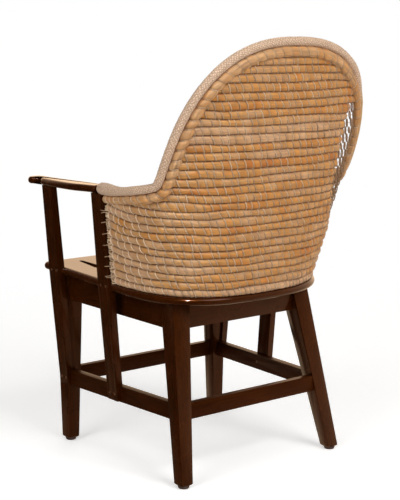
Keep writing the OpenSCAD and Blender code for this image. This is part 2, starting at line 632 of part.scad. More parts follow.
// Arms: a smooth line through a few places on the posts, with a hollow and a rounded nose in front
arm_fx = post_out(front_post_x, arm_z) + arm_overhang;
arm_rx = post_out(rear_post_x, arm_z);
arm_fy = -front_post_y;
arm_ends = [[rim_start[0] + arm_tail_w / 2, rim_start[1]], [rim_start[0] - arm_tail_w / 2, rim_start[1]]];
arm_knots = [arm_ends[0], [arm_rx + 8, -40], [arm_fx + 4.5, arm_fy + 118], [arm_fx + 5.5, arm_fy + 50],
    [arm_fx + 2.5, arm_fy + 5], [arm_fx - 1, arm_fy - 24], [arm_fx - 13, arm_fy - 43],
    [arm_fx - 10, arm_fy - 53], [arm_fx + 1, arm_fy - 57], [arm_fx + 7, arm_fy - 68],
    [arm_fx + 1, arm_fy - 80], [arm_fx - 14, arm_fy - arm_nose_l], [arm_fx - 29, arm_fy - arm_nose_l + 4],
    [arm_fx - 37, arm_fy - 66], [arm_fx - 38, arm_fy - 25], [arm_fx - 42, arm_fy + 40],
    [arm_ends[1][0] - 1, -60], arm_ends[1]];
function curve_at(a, b, c, d, t) =
    0.5 * (2 * b + (c - a) * t + (2 * a - 5 * b + 4 * c - d) * t * t + (3 * b - a - 3 * c + d) * t * t * t);
function through(k, steps) = let (n = len(k) - 1) concat([for (i = [0:n - 1]) for (s = [0:steps - 1])
    curve_at(k[max(0, i - 1)], k[i], k[i + 1], k[min(n, i + 2)], s / steps)], [k[n]]);
arm_outline = let (p = through(arm_knots, 3)) [for (i = [len(p) - 1:-1:0]) p[i]];
tail_root = 16;
module arm_tail() translate(rim_start + rim_dir * tail_root) rotate(to_dir(-rim_dir))
    cylinder(d = tail_d, h = tail_root + rim_ext - fit, $fn = 24);
module arm(side) color(wood) on_side(side) difference() {
    union() {
        translate([0, 0, arm_z]) rounded_board(arm_outline, arm_t, arm_edge_r, 3, -1);
        arm_tail();
    }
    front_tenon(fit);
    rear_tenon(fit);
}

// Corner blocks behind the four legs, with their screws
function side_x_at(y) = let (a = side_apron_line[0], b = side_apron_line[1])
    a[0] + (b[0] - a[0]) * (y - a[1]) / (b[1] - a[1]);
function corner_y(end) = end == "front" ? apron_cross_front[0] + apron_t : apron_cross_rear[0];
module at_corner(end) on_seat()
    translate([side_x_at(corner_y(end)) - apron_t, corner_y(end), -seat_t - block_drop - block_h])
        mirror([0, end == "front" ? 0 : 1, 0]) children();
module side_apron_room() on_seat() translate([0, 0, -seat_t - apron_h]) {
    rail_bar(side_apron_line, apron_t, apron_h, 0, apron_run);
    rail_bar([for (p = side_apron_line) p + [apron_t, 0]], apron_t + 1, apron_h, 0, apron_run);
}
module corner_block(end, side) color(pale_wood) on_side(side) difference() {
    at_corner(end) linear_extrude(block_h)
        polygon([[14, 0], [14, block_w], [-3, block_w], [-block_w, 12], [-block_w, 0]]);
    side_apron_room();
    if (end == "front") front_leg_blank();
    else rear_leg_blank();
    block_screw_holes(end);
    seat_screw_holes(end);
}
module wood_screw(length, gap) {
    cylinder(d = screw_d + 2 * gap, h = length + gap, $fn = 20);
    cylinder(d1 = screw_head_d + 2 * gap, d2 = screw_d + 2 * gap,
        h = (screw_head_d - screw_d) / 2, $fn = 20);
}
module screw_hole(length) {
    wood_screw(length, fit);
    translate([0, 0, -40]) cylinder(d = screw_head_d + 2 * fit, h = 40 + eps, $fn = 20);
}
module to_side_rail() translate([-22, block_w * 0.62, block_h / 2]) rotate([0, 90, 0]) children();
module to_cross_rail() translate([-block_w * 0.6, 22, block_h / 2]) rotate([90, 0, 0]) children();
module to_seat() translate([-block_w * 0.46, block_w * 0.46, 3]) children();
module block_screw_holes(end) at_corner(end) {
    to_side_rail() screw_hole(block_screw_l);
    to_cross_rail() screw_hole(block_screw_l);
}
module seat_screw_holes(end) at_corner(end) to_seat() screw_hole(seat_screw_l);
module seat_screws() color(steel_c)
    for (side = ["left", "right"]) for (end = ["front", "rear"]) on_side(side)
        at_corner(end) to_seat() wood_screw(seat_screw_l, 0);
module block_screws() color(steel_c)
    for (side = ["left", "right"]) for (end = ["front", "rear"]) on_side(side) at_corner(end) {
        to_side_rail() wood_screw(block_screw_l, 0);
        to_cross_rail() wood_screw(block_screw_l, 0);
    }

// The chair is drawn with its whole depth centred on the origin
middle_y = (max([for (r = rim_rings) for (p = r) p[1]]) + min([for (p = arm_outline) p[1]])) / 2;
module placed() translate([0, -middle_y, 0]) children();

placed() seat_board();
placed() front_leg("left");  // front_leg_left
placed() front_leg("right");  // front_leg_right
placed() rear_leg("left");  // rear_leg_left
placed() rear_leg("right");  // rear_leg_right
placed() front_apron();
placed() rear_apron();
placed() side_apron("left");  // side_apron_left
placed() side_apron("right");  // side_apron_right
placed() front_stretcher();
placed() rear_stretcher();
placed() side_stretcher("left");  // side_stretcher_left
placed() side_stretcher("right");  // side_stretcher_right
placed() front_post("left");  // front_post_left
placed() front_post("right");  // front_post_right
placed() rear_post("left");  // rear_post_left
placed() rear_post("right");  // rear_post_right
placed() arm("left");  // arm_left
placed() arm("right");  // arm_right
placed() straw_back();
placed() border_coil();
placed() wrapped_rim();
placed() rim_hoop();
placed() corner_block("front", "left");  // corner_block_front_left
placed() corner_block("front", "right");  // corner_block_front_right
placed() corner_block("rear", "left");  // corner_block_rear_left
placed() corner_block("rear", "right");  // corner_block_rear_right
placed() post_pegs();
placed() seat_screws();
placed() block_screws();
placed() foot_pads();
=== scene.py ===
"""A dining armchair: a dark glossy timber frame under a back of sewn straw rows.

The sizes of the chair are in millimetres, as in its CAD model. Meshes are made in metres.
"""
import logging
import math
from dataclasses import dataclass, field
from enum import Enum

import bmesh
import bpy
import numpy as np
from bpy.types import Material, Node, NodeSocket, NodeTree, Object
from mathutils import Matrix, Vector


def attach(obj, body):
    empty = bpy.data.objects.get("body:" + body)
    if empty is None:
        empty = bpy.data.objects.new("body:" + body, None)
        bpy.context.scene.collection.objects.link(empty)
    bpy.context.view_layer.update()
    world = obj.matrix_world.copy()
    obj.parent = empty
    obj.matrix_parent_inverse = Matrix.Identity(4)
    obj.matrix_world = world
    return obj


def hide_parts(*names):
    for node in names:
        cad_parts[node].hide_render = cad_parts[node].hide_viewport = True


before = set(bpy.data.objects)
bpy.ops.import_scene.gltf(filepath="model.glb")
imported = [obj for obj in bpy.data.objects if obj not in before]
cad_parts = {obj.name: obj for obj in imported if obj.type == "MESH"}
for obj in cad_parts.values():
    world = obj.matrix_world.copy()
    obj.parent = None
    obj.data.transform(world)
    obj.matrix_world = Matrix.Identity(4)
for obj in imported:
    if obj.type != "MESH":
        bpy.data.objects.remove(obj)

LOG = logging.getLogger("armchair")
MM = 0.001
WHITE = (1.0, 1.0, 1.0, 1.0)
COLOUR = {"data_type": "RGBA"}
MULTIPLY = {"operation": "MULTIPLY"}
MULTIPLY_ADD = {"operation": "MULTIPLY_ADD"}
MAXIMUM = {"operation": "MAXIMUM"}
SMOOTHLY = {"interpolation_type": "SMOOTHSTEP"}
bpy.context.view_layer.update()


class Grain(Enum):
    """The direction that the grain of a timber piece follows."""

    ACROSS = (0.0, math.pi / 2, 0.0)
    ALONG = (math.pi / 2, 0.0, 0.0)
    UPRIGHT = (0.0, 0.0, 0.0)


def linear(colour: str) -> tuple[float, float, float, float]:
    """Turn an sRGB hex colour into linear light.

    Args:
        colour: The colour, such as "#C79A60".

    Returns:
        Red, green, blue and an alpha of 1.
    """
    parts = [int(colour[i:i + 2], 16) / 255 for i in (1, 3, 5)]
    return (*(p / 12.92 if p <= 0.04045 else ((p + 0.055) / 1.055) ** 2.4 for p in parts), 1.0)


def add_node(tree: NodeTree, kind: str, settings: dict | None = None,
             inputs: dict | None = None) -> Node:
    """Add one node with its settings, and link or fill its inputs.

    Args:
        tree: The tree that gets the node.
        kind: The node's type.
        settings: Properties of the node.
        inputs: A value or another node's output for each named or numbered input.

    Returns:
        The new node.
    """
    node = tree.nodes.new(kind)
    for name, value in (settings or {}).items():
        setattr(node, name, value)
    for socket, value in (inputs or {}).items():
        if isinstance(value, NodeSocket):
            tree.links.new(value, node.inputs[socket])
        else:
            node.inputs[socket].default_value = value
    return node


def set_ramp(node: Node, stops: list[tuple[float, str]]) -> NodeSocket:
    """Give a colour ramp its stops.

    Args:
        node: The ramp.
        stops: A place from 0 to 1 and a hex colour for each stop.

    Returns:
        The ramp's colour output.
    """
    ramp = node.color_ramp
    while len(ramp.elements) < len(stops):
        ramp.elements.new(0.5)
    for element, (place, colour) in zip(ramp.elements, stops):
        element.position = place
        element.color = linear(colour)
    return node.outputs["Color"]


@dataclass(frozen=True)
class Finish:
    """What every finish has: a name, the record's slot and the look of its surface."""

    name: str
    slot: str
    roughness: float = 0.5
    coat: float = 0.0
    coat_roughness: float = 0.1
    sheen: float = 0.0
    sheen_roughness: float = 0.5

    def material(self) -> Material:
        """Give the finish's material, which is made once."""
        return bpy.data.materials.get(self.name) or self.make()

    def start(self) -> tuple[Material, NodeTree, Node]:
        """Make an empty material with one shader.

        Returns:
            The material, its node tree and its shader.
        """
        material = bpy.data.materials.new(self.name)
        material.use_nodes = True
        shader = material.node_tree.nodes["Principled BSDF"]
        for socket, value in (("Roughness", self.roughness), ("Coat Weight", self.coat),
                              ("Coat Roughness", self.coat_roughness), ("Sheen Weight", self.sheen),
                              ("Sheen Roughness", self.sheen_roughness)):
            shader.inputs[socket].default_value = value
        return material, material.node_tree, shader

    def strands(self, tree: NodeTree, place: NodeSocket,
                per_metre: tuple[float, float, float], detail: float,
                roughness: float = 0.5) -> NodeSocket:
        """Lay a noise that is drawn out one way, as grain and straws are.

        Args:
            tree: The material's tree.
            place: The coordinates that it follows, in metres.
            per_metre: How many strands come to a metre along each of these.
            detail: How many finer layers it has.
            roughness: How much these show.

        Returns:
            The noise, from 0 to 1.
        """
        drawn = add_node(tree, "ShaderNodeMapping", None, {"Vector": place, "Scale": per_metre})
        return add_node(tree, "ShaderNodeTexNoise", None,
                        {"Vector": drawn.outputs["Vector"], "Scale": 1.0, "Detail": detail,
                         "Roughness": roughness}).outputs["Fac"]

    def bump(self, tree: NodeTree, shader: Node, height: NodeSocket,
             depth: float, strength: float = 1.0) -> None:
        """Let a height pattern stand out of the surface.

        Args:
            tree: The material's tree.
            shader: The shader that gets the bump.
            height: The pattern, from 0 to 1.
            depth: How deep the pattern is, in millimetres.
            strength: How much of it shows.
        """
        bump = add_node(tree, "ShaderNodeBump", None,
                        {"Height": height, "Distance": depth * MM, "Strength": strength})
        tree.links.new(bump.outputs["Normal"], shader.inputs["Normal"])


@dataclass(frozen=True)
class TwoTone(Finish):
    """A finish whose colour runs between a dark and a light tone."""

    dark: str = "#1A1512"
    light: str = "#2A221D"

    def tones(self, tree: NodeTree, pattern: NodeSocket, start: float,
              end: float) -> NodeSocket:
        """Colour a pattern.

        Args:
            tree: The material's tree.
            pattern: The pattern, from 0 to 1.
            start: The level up to which it is dark.
            end: The level from which it is light.

        Returns:
            The colour.
        """
        ramp = add_node(tree, "ShaderNodeValToRGB", None, {"Fac": pattern})
        return set_ramp(ramp, [(start, self.dark), (end, self.light)])


@dataclass(frozen=True)
class LacqueredTimber(TwoTone):
    """Hardwood stained almost black-brown under a clear gloss lacquer.

    The stain hides most of the grain: it shows as faint reddish streaks, about 4 mm wide and
    90 mm long, which is as coarse as they need to be to show. The stain also tints what the
    lacquer mirrors from the front; seen along the surface, the lacquer mirrors the studio's white.
    """

    dark: str = "#230C01"
    light: str = "#3E1A04"
    grain: Grain = Grain.UPRIGHT
    tint: str = "#C46A20"
    specular: float = 0.3
    streaks: tuple[float, float, float] = (260.0, 260.0, 11.0)
    clouds: float = 9.0
    pore_depth: float = 0.04

    def make(self) -> Material:
        """Build the material.

        Returns:
            The stained and lacquered timber.
        """
        material, tree, shader = self.start()
        shader.inputs["Specular IOR Level"].default_value = self.specular
        shader.inputs["Specular Tint"].default_value = linear(self.tint)
        place = add_node(tree, "ShaderNodeTexCoord").outputs["Object"]
        turned = add_node(tree, "ShaderNodeMapping", None,
                          {"Vector": place, "Rotation": self.grain.value})
        streaks = self.strands(tree, turned.outputs["Vector"], self.streaks, 5.0, 0.6)
        clouds = add_node(tree, "ShaderNodeTexNoise", None,
                          {"Vector": place, "Scale": self.clouds, "Detail": 2.0}).outputs["Fac"]
        mixed = add_node(tree, "ShaderNodeMath", MULTIPLY_ADD, {0: clouds, 1: 0.5, 2: streaks})
        tree.links.new(self.tones(tree, mixed.outputs[0], 0.45, 1.05), shader.inputs["Base Color"])
        facing = add_node(tree, "ShaderNodeLayerWeight", None, {"Blend": 0.5})
        glance = add_node(tree, "ShaderNodeMapRange", None,
                          {"Value": facing.outputs["Facing"], "From Min": 0.55, "From Max": 0.95,
                           "To Min": 0.2 * self.coat, "To Max": self.coat})
        tree.links.new(glance.outputs["Result"], shader.inputs["Coat Weight"])
        rough = add_node(tree, "ShaderNodeMapRange", None,
                         {"Value": clouds, "To Min": self.roughness - 0.05,
                          "To Max": self.roughness + 0.07})
        tree.links.new(rough.outputs["Result"], shader.inputs["Roughness"])
        self.bump(tree, shader, streaks, self.pore_depth, 0.3)
        return material


@dataclass(frozen=True)
class StrawBundle(Finish):
    """Dry cereal straw laid side by side in a bundle.

    Single straws, 1 to 2 mm wide, run along the bundle in locks of a few, matt and faintly waxy.
    Their colour turns from a greyed olive tan to golden orange from one bundle to the next and
    within each bundle.
    """

    hues: tuple[str, ...] = ("#CA9E76", "#C29262", "#C08848", "#C07E38", "#AE6424")
    straw_width: float = 1.9
    straw_length: float = 48.0
    lock_width: float = 5.0
    lock_length: float = 70.0
    stains: float = 26.0
    girth: float = 0.056
    seam_shade: float = 0.26
    shadow: str = "#663810"
    wax: str = "#F6DFC2"

    def make(self) -> Material:
        """Build the material from the bundle's own UV map, its tone and its painted shade.

        Returns:
            The straw.
        """
        material, tree, shader = self.start()
        shader.inputs["Specular Tint"].default_value = linear(self.wax)
        uv = add_node(tree, "ShaderNodeUVMap", {"uv_map": "along"}).outputs["UV"]
        straws = self.strands(tree, uv, (1000 / self.straw_length, 1000 / self.straw_width, 1.0),
                              4.0, 0.75)
        locks = self.strands(tree, uv, (1000 / self.lock_length, 1000 / self.lock_width, 1.0), 2.0)
        lit = add_node(tree, "ShaderNodeMix", {"data_type": "RGBA", "blend_type": "MULTIPLY"},
                       {"Factor": 1.0, 6: self.hue(tree, straws, locks),
                        7: self.shade(tree, uv, straws, locks)})
        tree.links.new(lit.outputs[2], shader.inputs["Base Color"])
        self.bump(tree, shader, straws, 0.7, 0.7)
        return material

    def hue(self, tree: NodeTree, straws: NodeSocket,
            locks: NodeSocket) -> NodeSocket:
        """Turn the colour from straw to straw, lock to lock and bundle to bundle.

        Args:
            tree: The material's tree.
            straws: The pattern of single straws.
            locks: The pattern of locks.

        Returns:
            The colour.
        """
        place = add_node(tree, "ShaderNodeTexCoord").outputs["Object"]
        stains = add_node(tree, "ShaderNodeTexNoise", None,
                          {"Vector": place, "Scale": self.stains, "Detail": 3.0})
        level = add_node(tree, "ShaderNodeAttribute", {"attribute_name": "tone"}).outputs["Fac"]
        shares = (0.7, 0.9, 1.0)
        for share, pattern in zip(shares, (stains.outputs["Fac"], straws, locks)):
            level = add_node(tree, "ShaderNodeMath", MULTIPLY_ADD,
                             {0: pattern, 1: share, 2: level}).outputs[0]
        centred = add_node(tree, "ShaderNodeMath", {"operation": "SUBTRACT", "use_clamp": True},
                           {0: level, 1: sum(shares) / 2})
        ramp = add_node(tree, "ShaderNodeValToRGB", None, {"Fac": centred.outputs[0]})
        last = len(self.hues) - 1
        return set_ramp(ramp, [(i / last, hue) for i, hue in enumerate(self.hues)])

    def shade(self, tree: NodeTree, uv: NodeSocket, straws: NodeSocket,
              locks: NodeSocket) -> NodeSocket:
        """Paint shade into the gaps between straws, the seams between bundles and where a thread
        bites.

        Args:
            tree: The material's tree.
            uv: The bundle's UV map.
            straws: The pattern of single straws.
            locks: The pattern of locks.

        Returns:
            The colour that the straw's own is multiplied by.
        """
        # Painted shade: the bundle's top and bottom, where it lies against its neighbours, turn
        # towards the shadow colour.
        around = add_node(tree, "ShaderNodeSeparateXYZ", None, {"Vector": uv}).outputs["Y"]
        turned = add_node(tree, "ShaderNodeMath", MULTIPLY,
                          {0: around, 1: 2 * math.pi / self.girth})
        height = add_node(tree, "ShaderNodeMath", {"operation": "SINE"}, {0: turned.outputs[0]})
        seam = add_node(tree, "ShaderNodeMath", {"operation": "ABSOLUTE"}, {0: height.outputs[0]})
        # The mesh's painted shade, where threads pinch the bundle and where a part lies hidden,
        # starts the product.
        light = add_node(tree, "ShaderNodeAttribute", {"attribute_name": "painted_shade"}).outputs["Fac"]
        shades = ((straws, 0.3, 0.62, 0.62, 1.18), (locks, 0.3, 0.7, 0.78, 1.2),
                  (seam.outputs[0], 0.62, 1.0, 1.0, self.seam_shade))
        for pattern, low, high, at_low, at_high in shades:
            part = add_node(tree, "ShaderNodeMapRange", None,
                            {"Value": pattern, "From Min": low, "From Max": high,
                             "To Min": at_low, "To Max": at_high})
            light = add_node(tree, "ShaderNodeMath", MULTIPLY,
                             {0: light, 1: part.outputs["Result"]}).outputs[0]
        return add_node(tree, "ShaderNodeMix", {"data_type": "RGBA", "clamp_factor": False},
                        {0: light, 6: linear(self.shadow), 7: WHITE}).outputs[2]


@dataclass(frozen=True)
class Twine(TwoTone):
    """Thin two-ply twine of bleached fibre, matt and a little hairy.

    The ribs of its lay are too fine to show, so they are drawn as pale and dark specks of the
    lay's length.
    """

    dark: str = "#D0AC84"
    light: str = "#F0D8B8"
    dull: str = "#A07C56"
    lay: float = 1.4

    def make(self) -> Material:
        """Build the material, duller where the loop's "bold" is low.

        Returns:
            The twine.
        """
        material, tree, shader = self.start()
        place = add_node(tree, "ShaderNodeTexCoord").outputs["Object"]
        fibre = add_node(tree, "ShaderNodeTexNoise", None,
                         {"Vector": place, "Scale": 1000 / self.lay, "Detail": 2.0}).outputs["Fac"]
        bold = add_node(tree, "ShaderNodeAttribute", {"attribute_name": "bold"}).outputs["Fac"]
        worn = add_node(tree, "ShaderNodeMix", COLOUR,
                        {"Factor": bold, 6: linear(self.dull),
                         7: self.tones(tree, fibre, 0.3, 0.6)})
        tree.links.new(worn.outputs[2], shader.inputs["Base Color"])
        self.bump(tree, shader, fibre, 0.3, 0.6)
        return material


@dataclass(frozen=True)
class WrappedTwine(TwoTone):
    """Fine grey-tan twine wound tightly over the rim, as matt as cloth, crossed by a paler thread.

    Its fibres are drawn about 1.6 mm long, as coarse as they need to be to show.
    """

    dark: str = "#947054"
    light: str = "#D6B08E"
    thread: str = "#E8CCAE"
    crossing: float = 5.6
    leans: tuple[float, float] = (0.85, -0.65)
    fibres: float = 620.0

    def make(self) -> Material:
        """Build the material from the rim's UV map.

        Returns:
            The wrapping.
        """
        material, tree, shader = self.start()
        uv = add_node(tree, "ShaderNodeUVMap", {"uv_map": "along"}).outputs["UV"]
        waves = {}
        for turn, lean in enumerate(self.leans):
            slanted = add_node(tree, "ShaderNodeMapping", None,
                               {"Vector": uv, "Rotation": (0.0, 0.0, lean)}).outputs["Vector"]
            wave = add_node(tree, "ShaderNodeTexWave", {"bands_direction": "X"},
                            {"Vector": slanted, "Scale": 314 / self.crossing, "Distortion": 6.0,
                             "Detail": 3.0, "Detail Scale": 1.5})
            waves[turn] = wave.outputs["Fac"]
        # The pale thread shows where both waves crest.
        pale = add_node(tree, "ShaderNodeMath", MULTIPLY, waves)
        fibre = add_node(tree, "ShaderNodeTexNoise", None,
                         {"Vector": uv, "Scale": self.fibres, "Detail": 3.0}).outputs["Fac"]
        edge = add_node(tree, "ShaderNodeMapRange", None,
                        {"Value": pale.outputs[0], "From Min": 0.2,
                         "From Max": 0.75}).outputs["Result"]
        thread = add_node(tree, "ShaderNodeMix", COLOUR,
                          {"Factor": edge, 6: self.tones(tree, fibre, 0.32, 0.62),
                           7: linear(self.thread)})
        tree.links.new(thread.outputs[2], shader.inputs["Base Color"])
        height = add_node(tree, "ShaderNodeMath", MULTIPLY_ADD, {0: edge, 1: 0.8, 2: fibre})
        self.bump(tree, shader, height.outputs[0], 0.6, 0.8)
        return material


@dataclass(frozen=True)
class Speckled(TwoTone):
    """A plain material with a fine cast or sawn grain: bare wood, zinc or rubber.

    The real grain is too fine to show, so its size here, in millimetres, is a coarser one.
    """

    grit: float = 0.8
    metallic: float = 0.0
    stretch: tuple[float, float, float] = (1.0, 1.0, 1.0)

    def make(self) -> Material:
        """Build the material.

        Returns:
            The plain material.
        """
        material, tree, shader = self.start()
        shader.inputs["Metallic"].default_value = self.metallic
        place = add_node(tree, "ShaderNodeTexCoord").outputs["Object"]
        grains = tuple(1000 / self.grit * part for part in self.stretch)
        grit = self.strands(tree, place, grains, 3.0)
        tree.links.new(self.tones(tree, grit, 0.35, 0.65), shader.inputs["Base Color"])
        self.bump(tree, shader, grit, 0.1, 0.5)
        return material


def timber(grain: Grain, rubbed: bool = False) -> LacqueredTimber:
    """Give the frame's timber with its grain in one direction.

    Args:
        grain: Where the grain runs.
        rubbed: Whether feet have dulled the lacquer, as on the stretchers.

    Returns:
        The finish.
    """
    state = "rubbed" if rubbed else "lacquered"
    gloss = ({"roughness": 0.45, "coat": 0.12, "specular": 0.2} if rubbed
             else {"roughness": 0.26, "coat": 1.0, "specular": 0.3})
    return LacqueredTimber(f"stained_{state}_beech_{grain.name.lower()}", "dark_wood",
                           coat_roughness=0.12, grain=grain, **gloss)


# Rye straw: matt and faintly waxy, with painted shade in the seams where the rows lie against each
# other.
STRAW = StrawBundle("sewn_rye_straw", "sewn_straw", roughness=0.52, sheen=0.1)
# The rope's straw is coarser and duller, with little painted shade where it meets the rows and the
# rim.
ROPE_STRAW = StrawBundle("straw_rope", "coil_straw", roughness=0.6, sheen=0.1,
                         hues=("#B68A60", "#C89A6A", "#C4905C", "#C68C50", "#AA6C3C"), girth=0.072,
                         seam_shade=0.85, straw_width=2.4, lock_width=6.0)
# Sewing twine is pale, and duller where it is pulled thin.
STITCH = Twine("bleached_sewing_twine", "twine_wrap", roughness=0.7, sheen=0.2)
# Binding twine is rougher and warmer.
BINDING = Twine("rough_binding_twine", "twine_wrap", roughness=0.8, sheen=0.2, dark="#C4A07A",
                light="#EAD0AE", dull="#BE9A74")
WRAPPING = WrappedTwine("fine_twine_wrapping", "twine_wrap", roughness=0.75, sheen=0.3)
# Split cane has a smooth yellow-brown skin.
CANE = Speckled("split_cane", "cane", roughness=0.5, dark="#B08A55", light="#CBA873")
# Beech without stain is pale and matt, with its grain from front to rear.
BLOCK_WOOD = Speckled("unstained_beech", "pale_wood", roughness=0.6, dark="#B4895A",
                      light="#CDA878", grit=4.0, stretch=(1.0, 0.1, 1.0))
# A peg's end grain is lighter than the frame, under a thinner lacquer.
PEG_WOOD = Speckled("stained_peg_end_grain", "peg_wood", roughness=0.35, coat=0.4, dark="#4A2A16",
                    light="#6B4326")
# Zinc plate is a grey, half-matt metal with faint clouds.
ZINC = Speckled("zinc_plated_steel", "zinc_steel", roughness=0.35, metallic=1.0, dark="#9C9C98",
                light="#C6C6C0", grit=2.0)
# Rubber is dull and dark brown.
RUBBER = Speckled("dark_brown_rubber", "rubber", roughness=0.7, dark="#3A1A0A", light="#4A2410")


@dataclass
class MeshSink:
    """Collects tubes and shells into one mesh with a UV map along them and a tone.

    The UV map counts in metres: U along a piece and V round it.
    """

    verts: list[np.ndarray] = field(default_factory=list)
    faces: list[tuple[int, ...]] = field(default_factory=list)
    uvs: list[tuple[float, float]] = field(default_factory=list)
    tones: list[np.ndarray] = field(default_factory=list)
    painted_shades: list[np.ndarray] = field(default_factory=list)
    count: int = 0

    def tube(self, rings: np.ndarray, along: np.ndarray, girth: float, tone: np.ndarray,
             painted_shade: np.ndarray | None = None) -> None:
        """Add a closed tube.

        Args:
            rings: Points of each ring, counter-clockwise round the way it runs, in metres.
            along: How far along each ring is, in metres.
            girth: The length round the tube, in metres.
            tone: The tone of each ring.
            painted_shade: Painted shade, as the share of light that each point keeps where threads
                pinch it or where it lies hidden, or nothing.
        """
        n, m = rings.shape[:2]
        self.painted_shades.append(np.ones(n * m) if painted_shade is None else painted_shade.ravel())
        base = self.count
        self.verts.append(rings.reshape(-1, 3))
        self.tones.append(np.repeat(tone, m))
        self.count += n * m
        for k in range(n - 1):
            a = base + k * m
            u0, u1 = along[k], along[k + 1]
            for i in range(m):
                j = (i + 1) % m
                self.faces.append((a + i, a + j, a + m + j, a + m + i))
                v0, v1 = i * girth / m, (i + 1) * girth / m
                self.uvs += [(u0, v0), (u0, v1), (u1, v1), (u1, v0)]
        for first, at, order in ((base, along[0], range(m - 1, -1, -1)),
                                 (base + (n - 1) * m, along[-1], range(m))):
            self.faces.append(tuple(first + i for i in order))
            self.uvs += [(at, i * girth / m) for i in order]

    def to_object(self, name: str, finish: Finish) -> Object:
        """Turn what was collected into one smooth object.

        Args:
            name: The piece's name.
            finish: Its finish.

        Returns:
            The object, linked to the scene.
        """
        mesh = bpy.data.meshes.new(name)
        mesh.from_pydata(np.concatenate(self.verts).tolist(), [], self.faces)
        uvs = np.array(self.uvs, dtype=np.float32)
        mesh.uv_layers.new(name="along").data.foreach_set("uv", uvs.ravel())
        for key, values in (("tone", self.tones), ("painted_shade", self.painted_shades)):
            mesh.attributes.new(key, "FLOAT", "POINT").data.foreach_set(
                "value", np.concatenate(values).astype(np.float32))
        mesh.shade_smooth()
        mesh.materials.append(finish.material())
        return new_object(name, mesh)


def new_object(name: str, data: bpy.types.ID) -> Object:
    """Make an object of a mesh, a lamp or a camera and put it into the scene."""
    piece = bpy.data.objects.new(name, data)
    bpy.context.scene.collection.objects.link(piece)
    return piece


def bake(piece: Object) -> Object:
    """Apply a piece's modifiers for good.

    Args:
        piece: The object with modifiers.

    Returns:
        The same object with a plain mesh.
    """
    graph = bpy.context.evaluated_depsgraph_get()
    mesh = bpy.data.meshes.new_from_object(piece.evaluated_get(graph), depsgraph=graph)
    mesh.name = piece.name
    piece.modifiers.clear()
    piece.data = mesh
    return piece


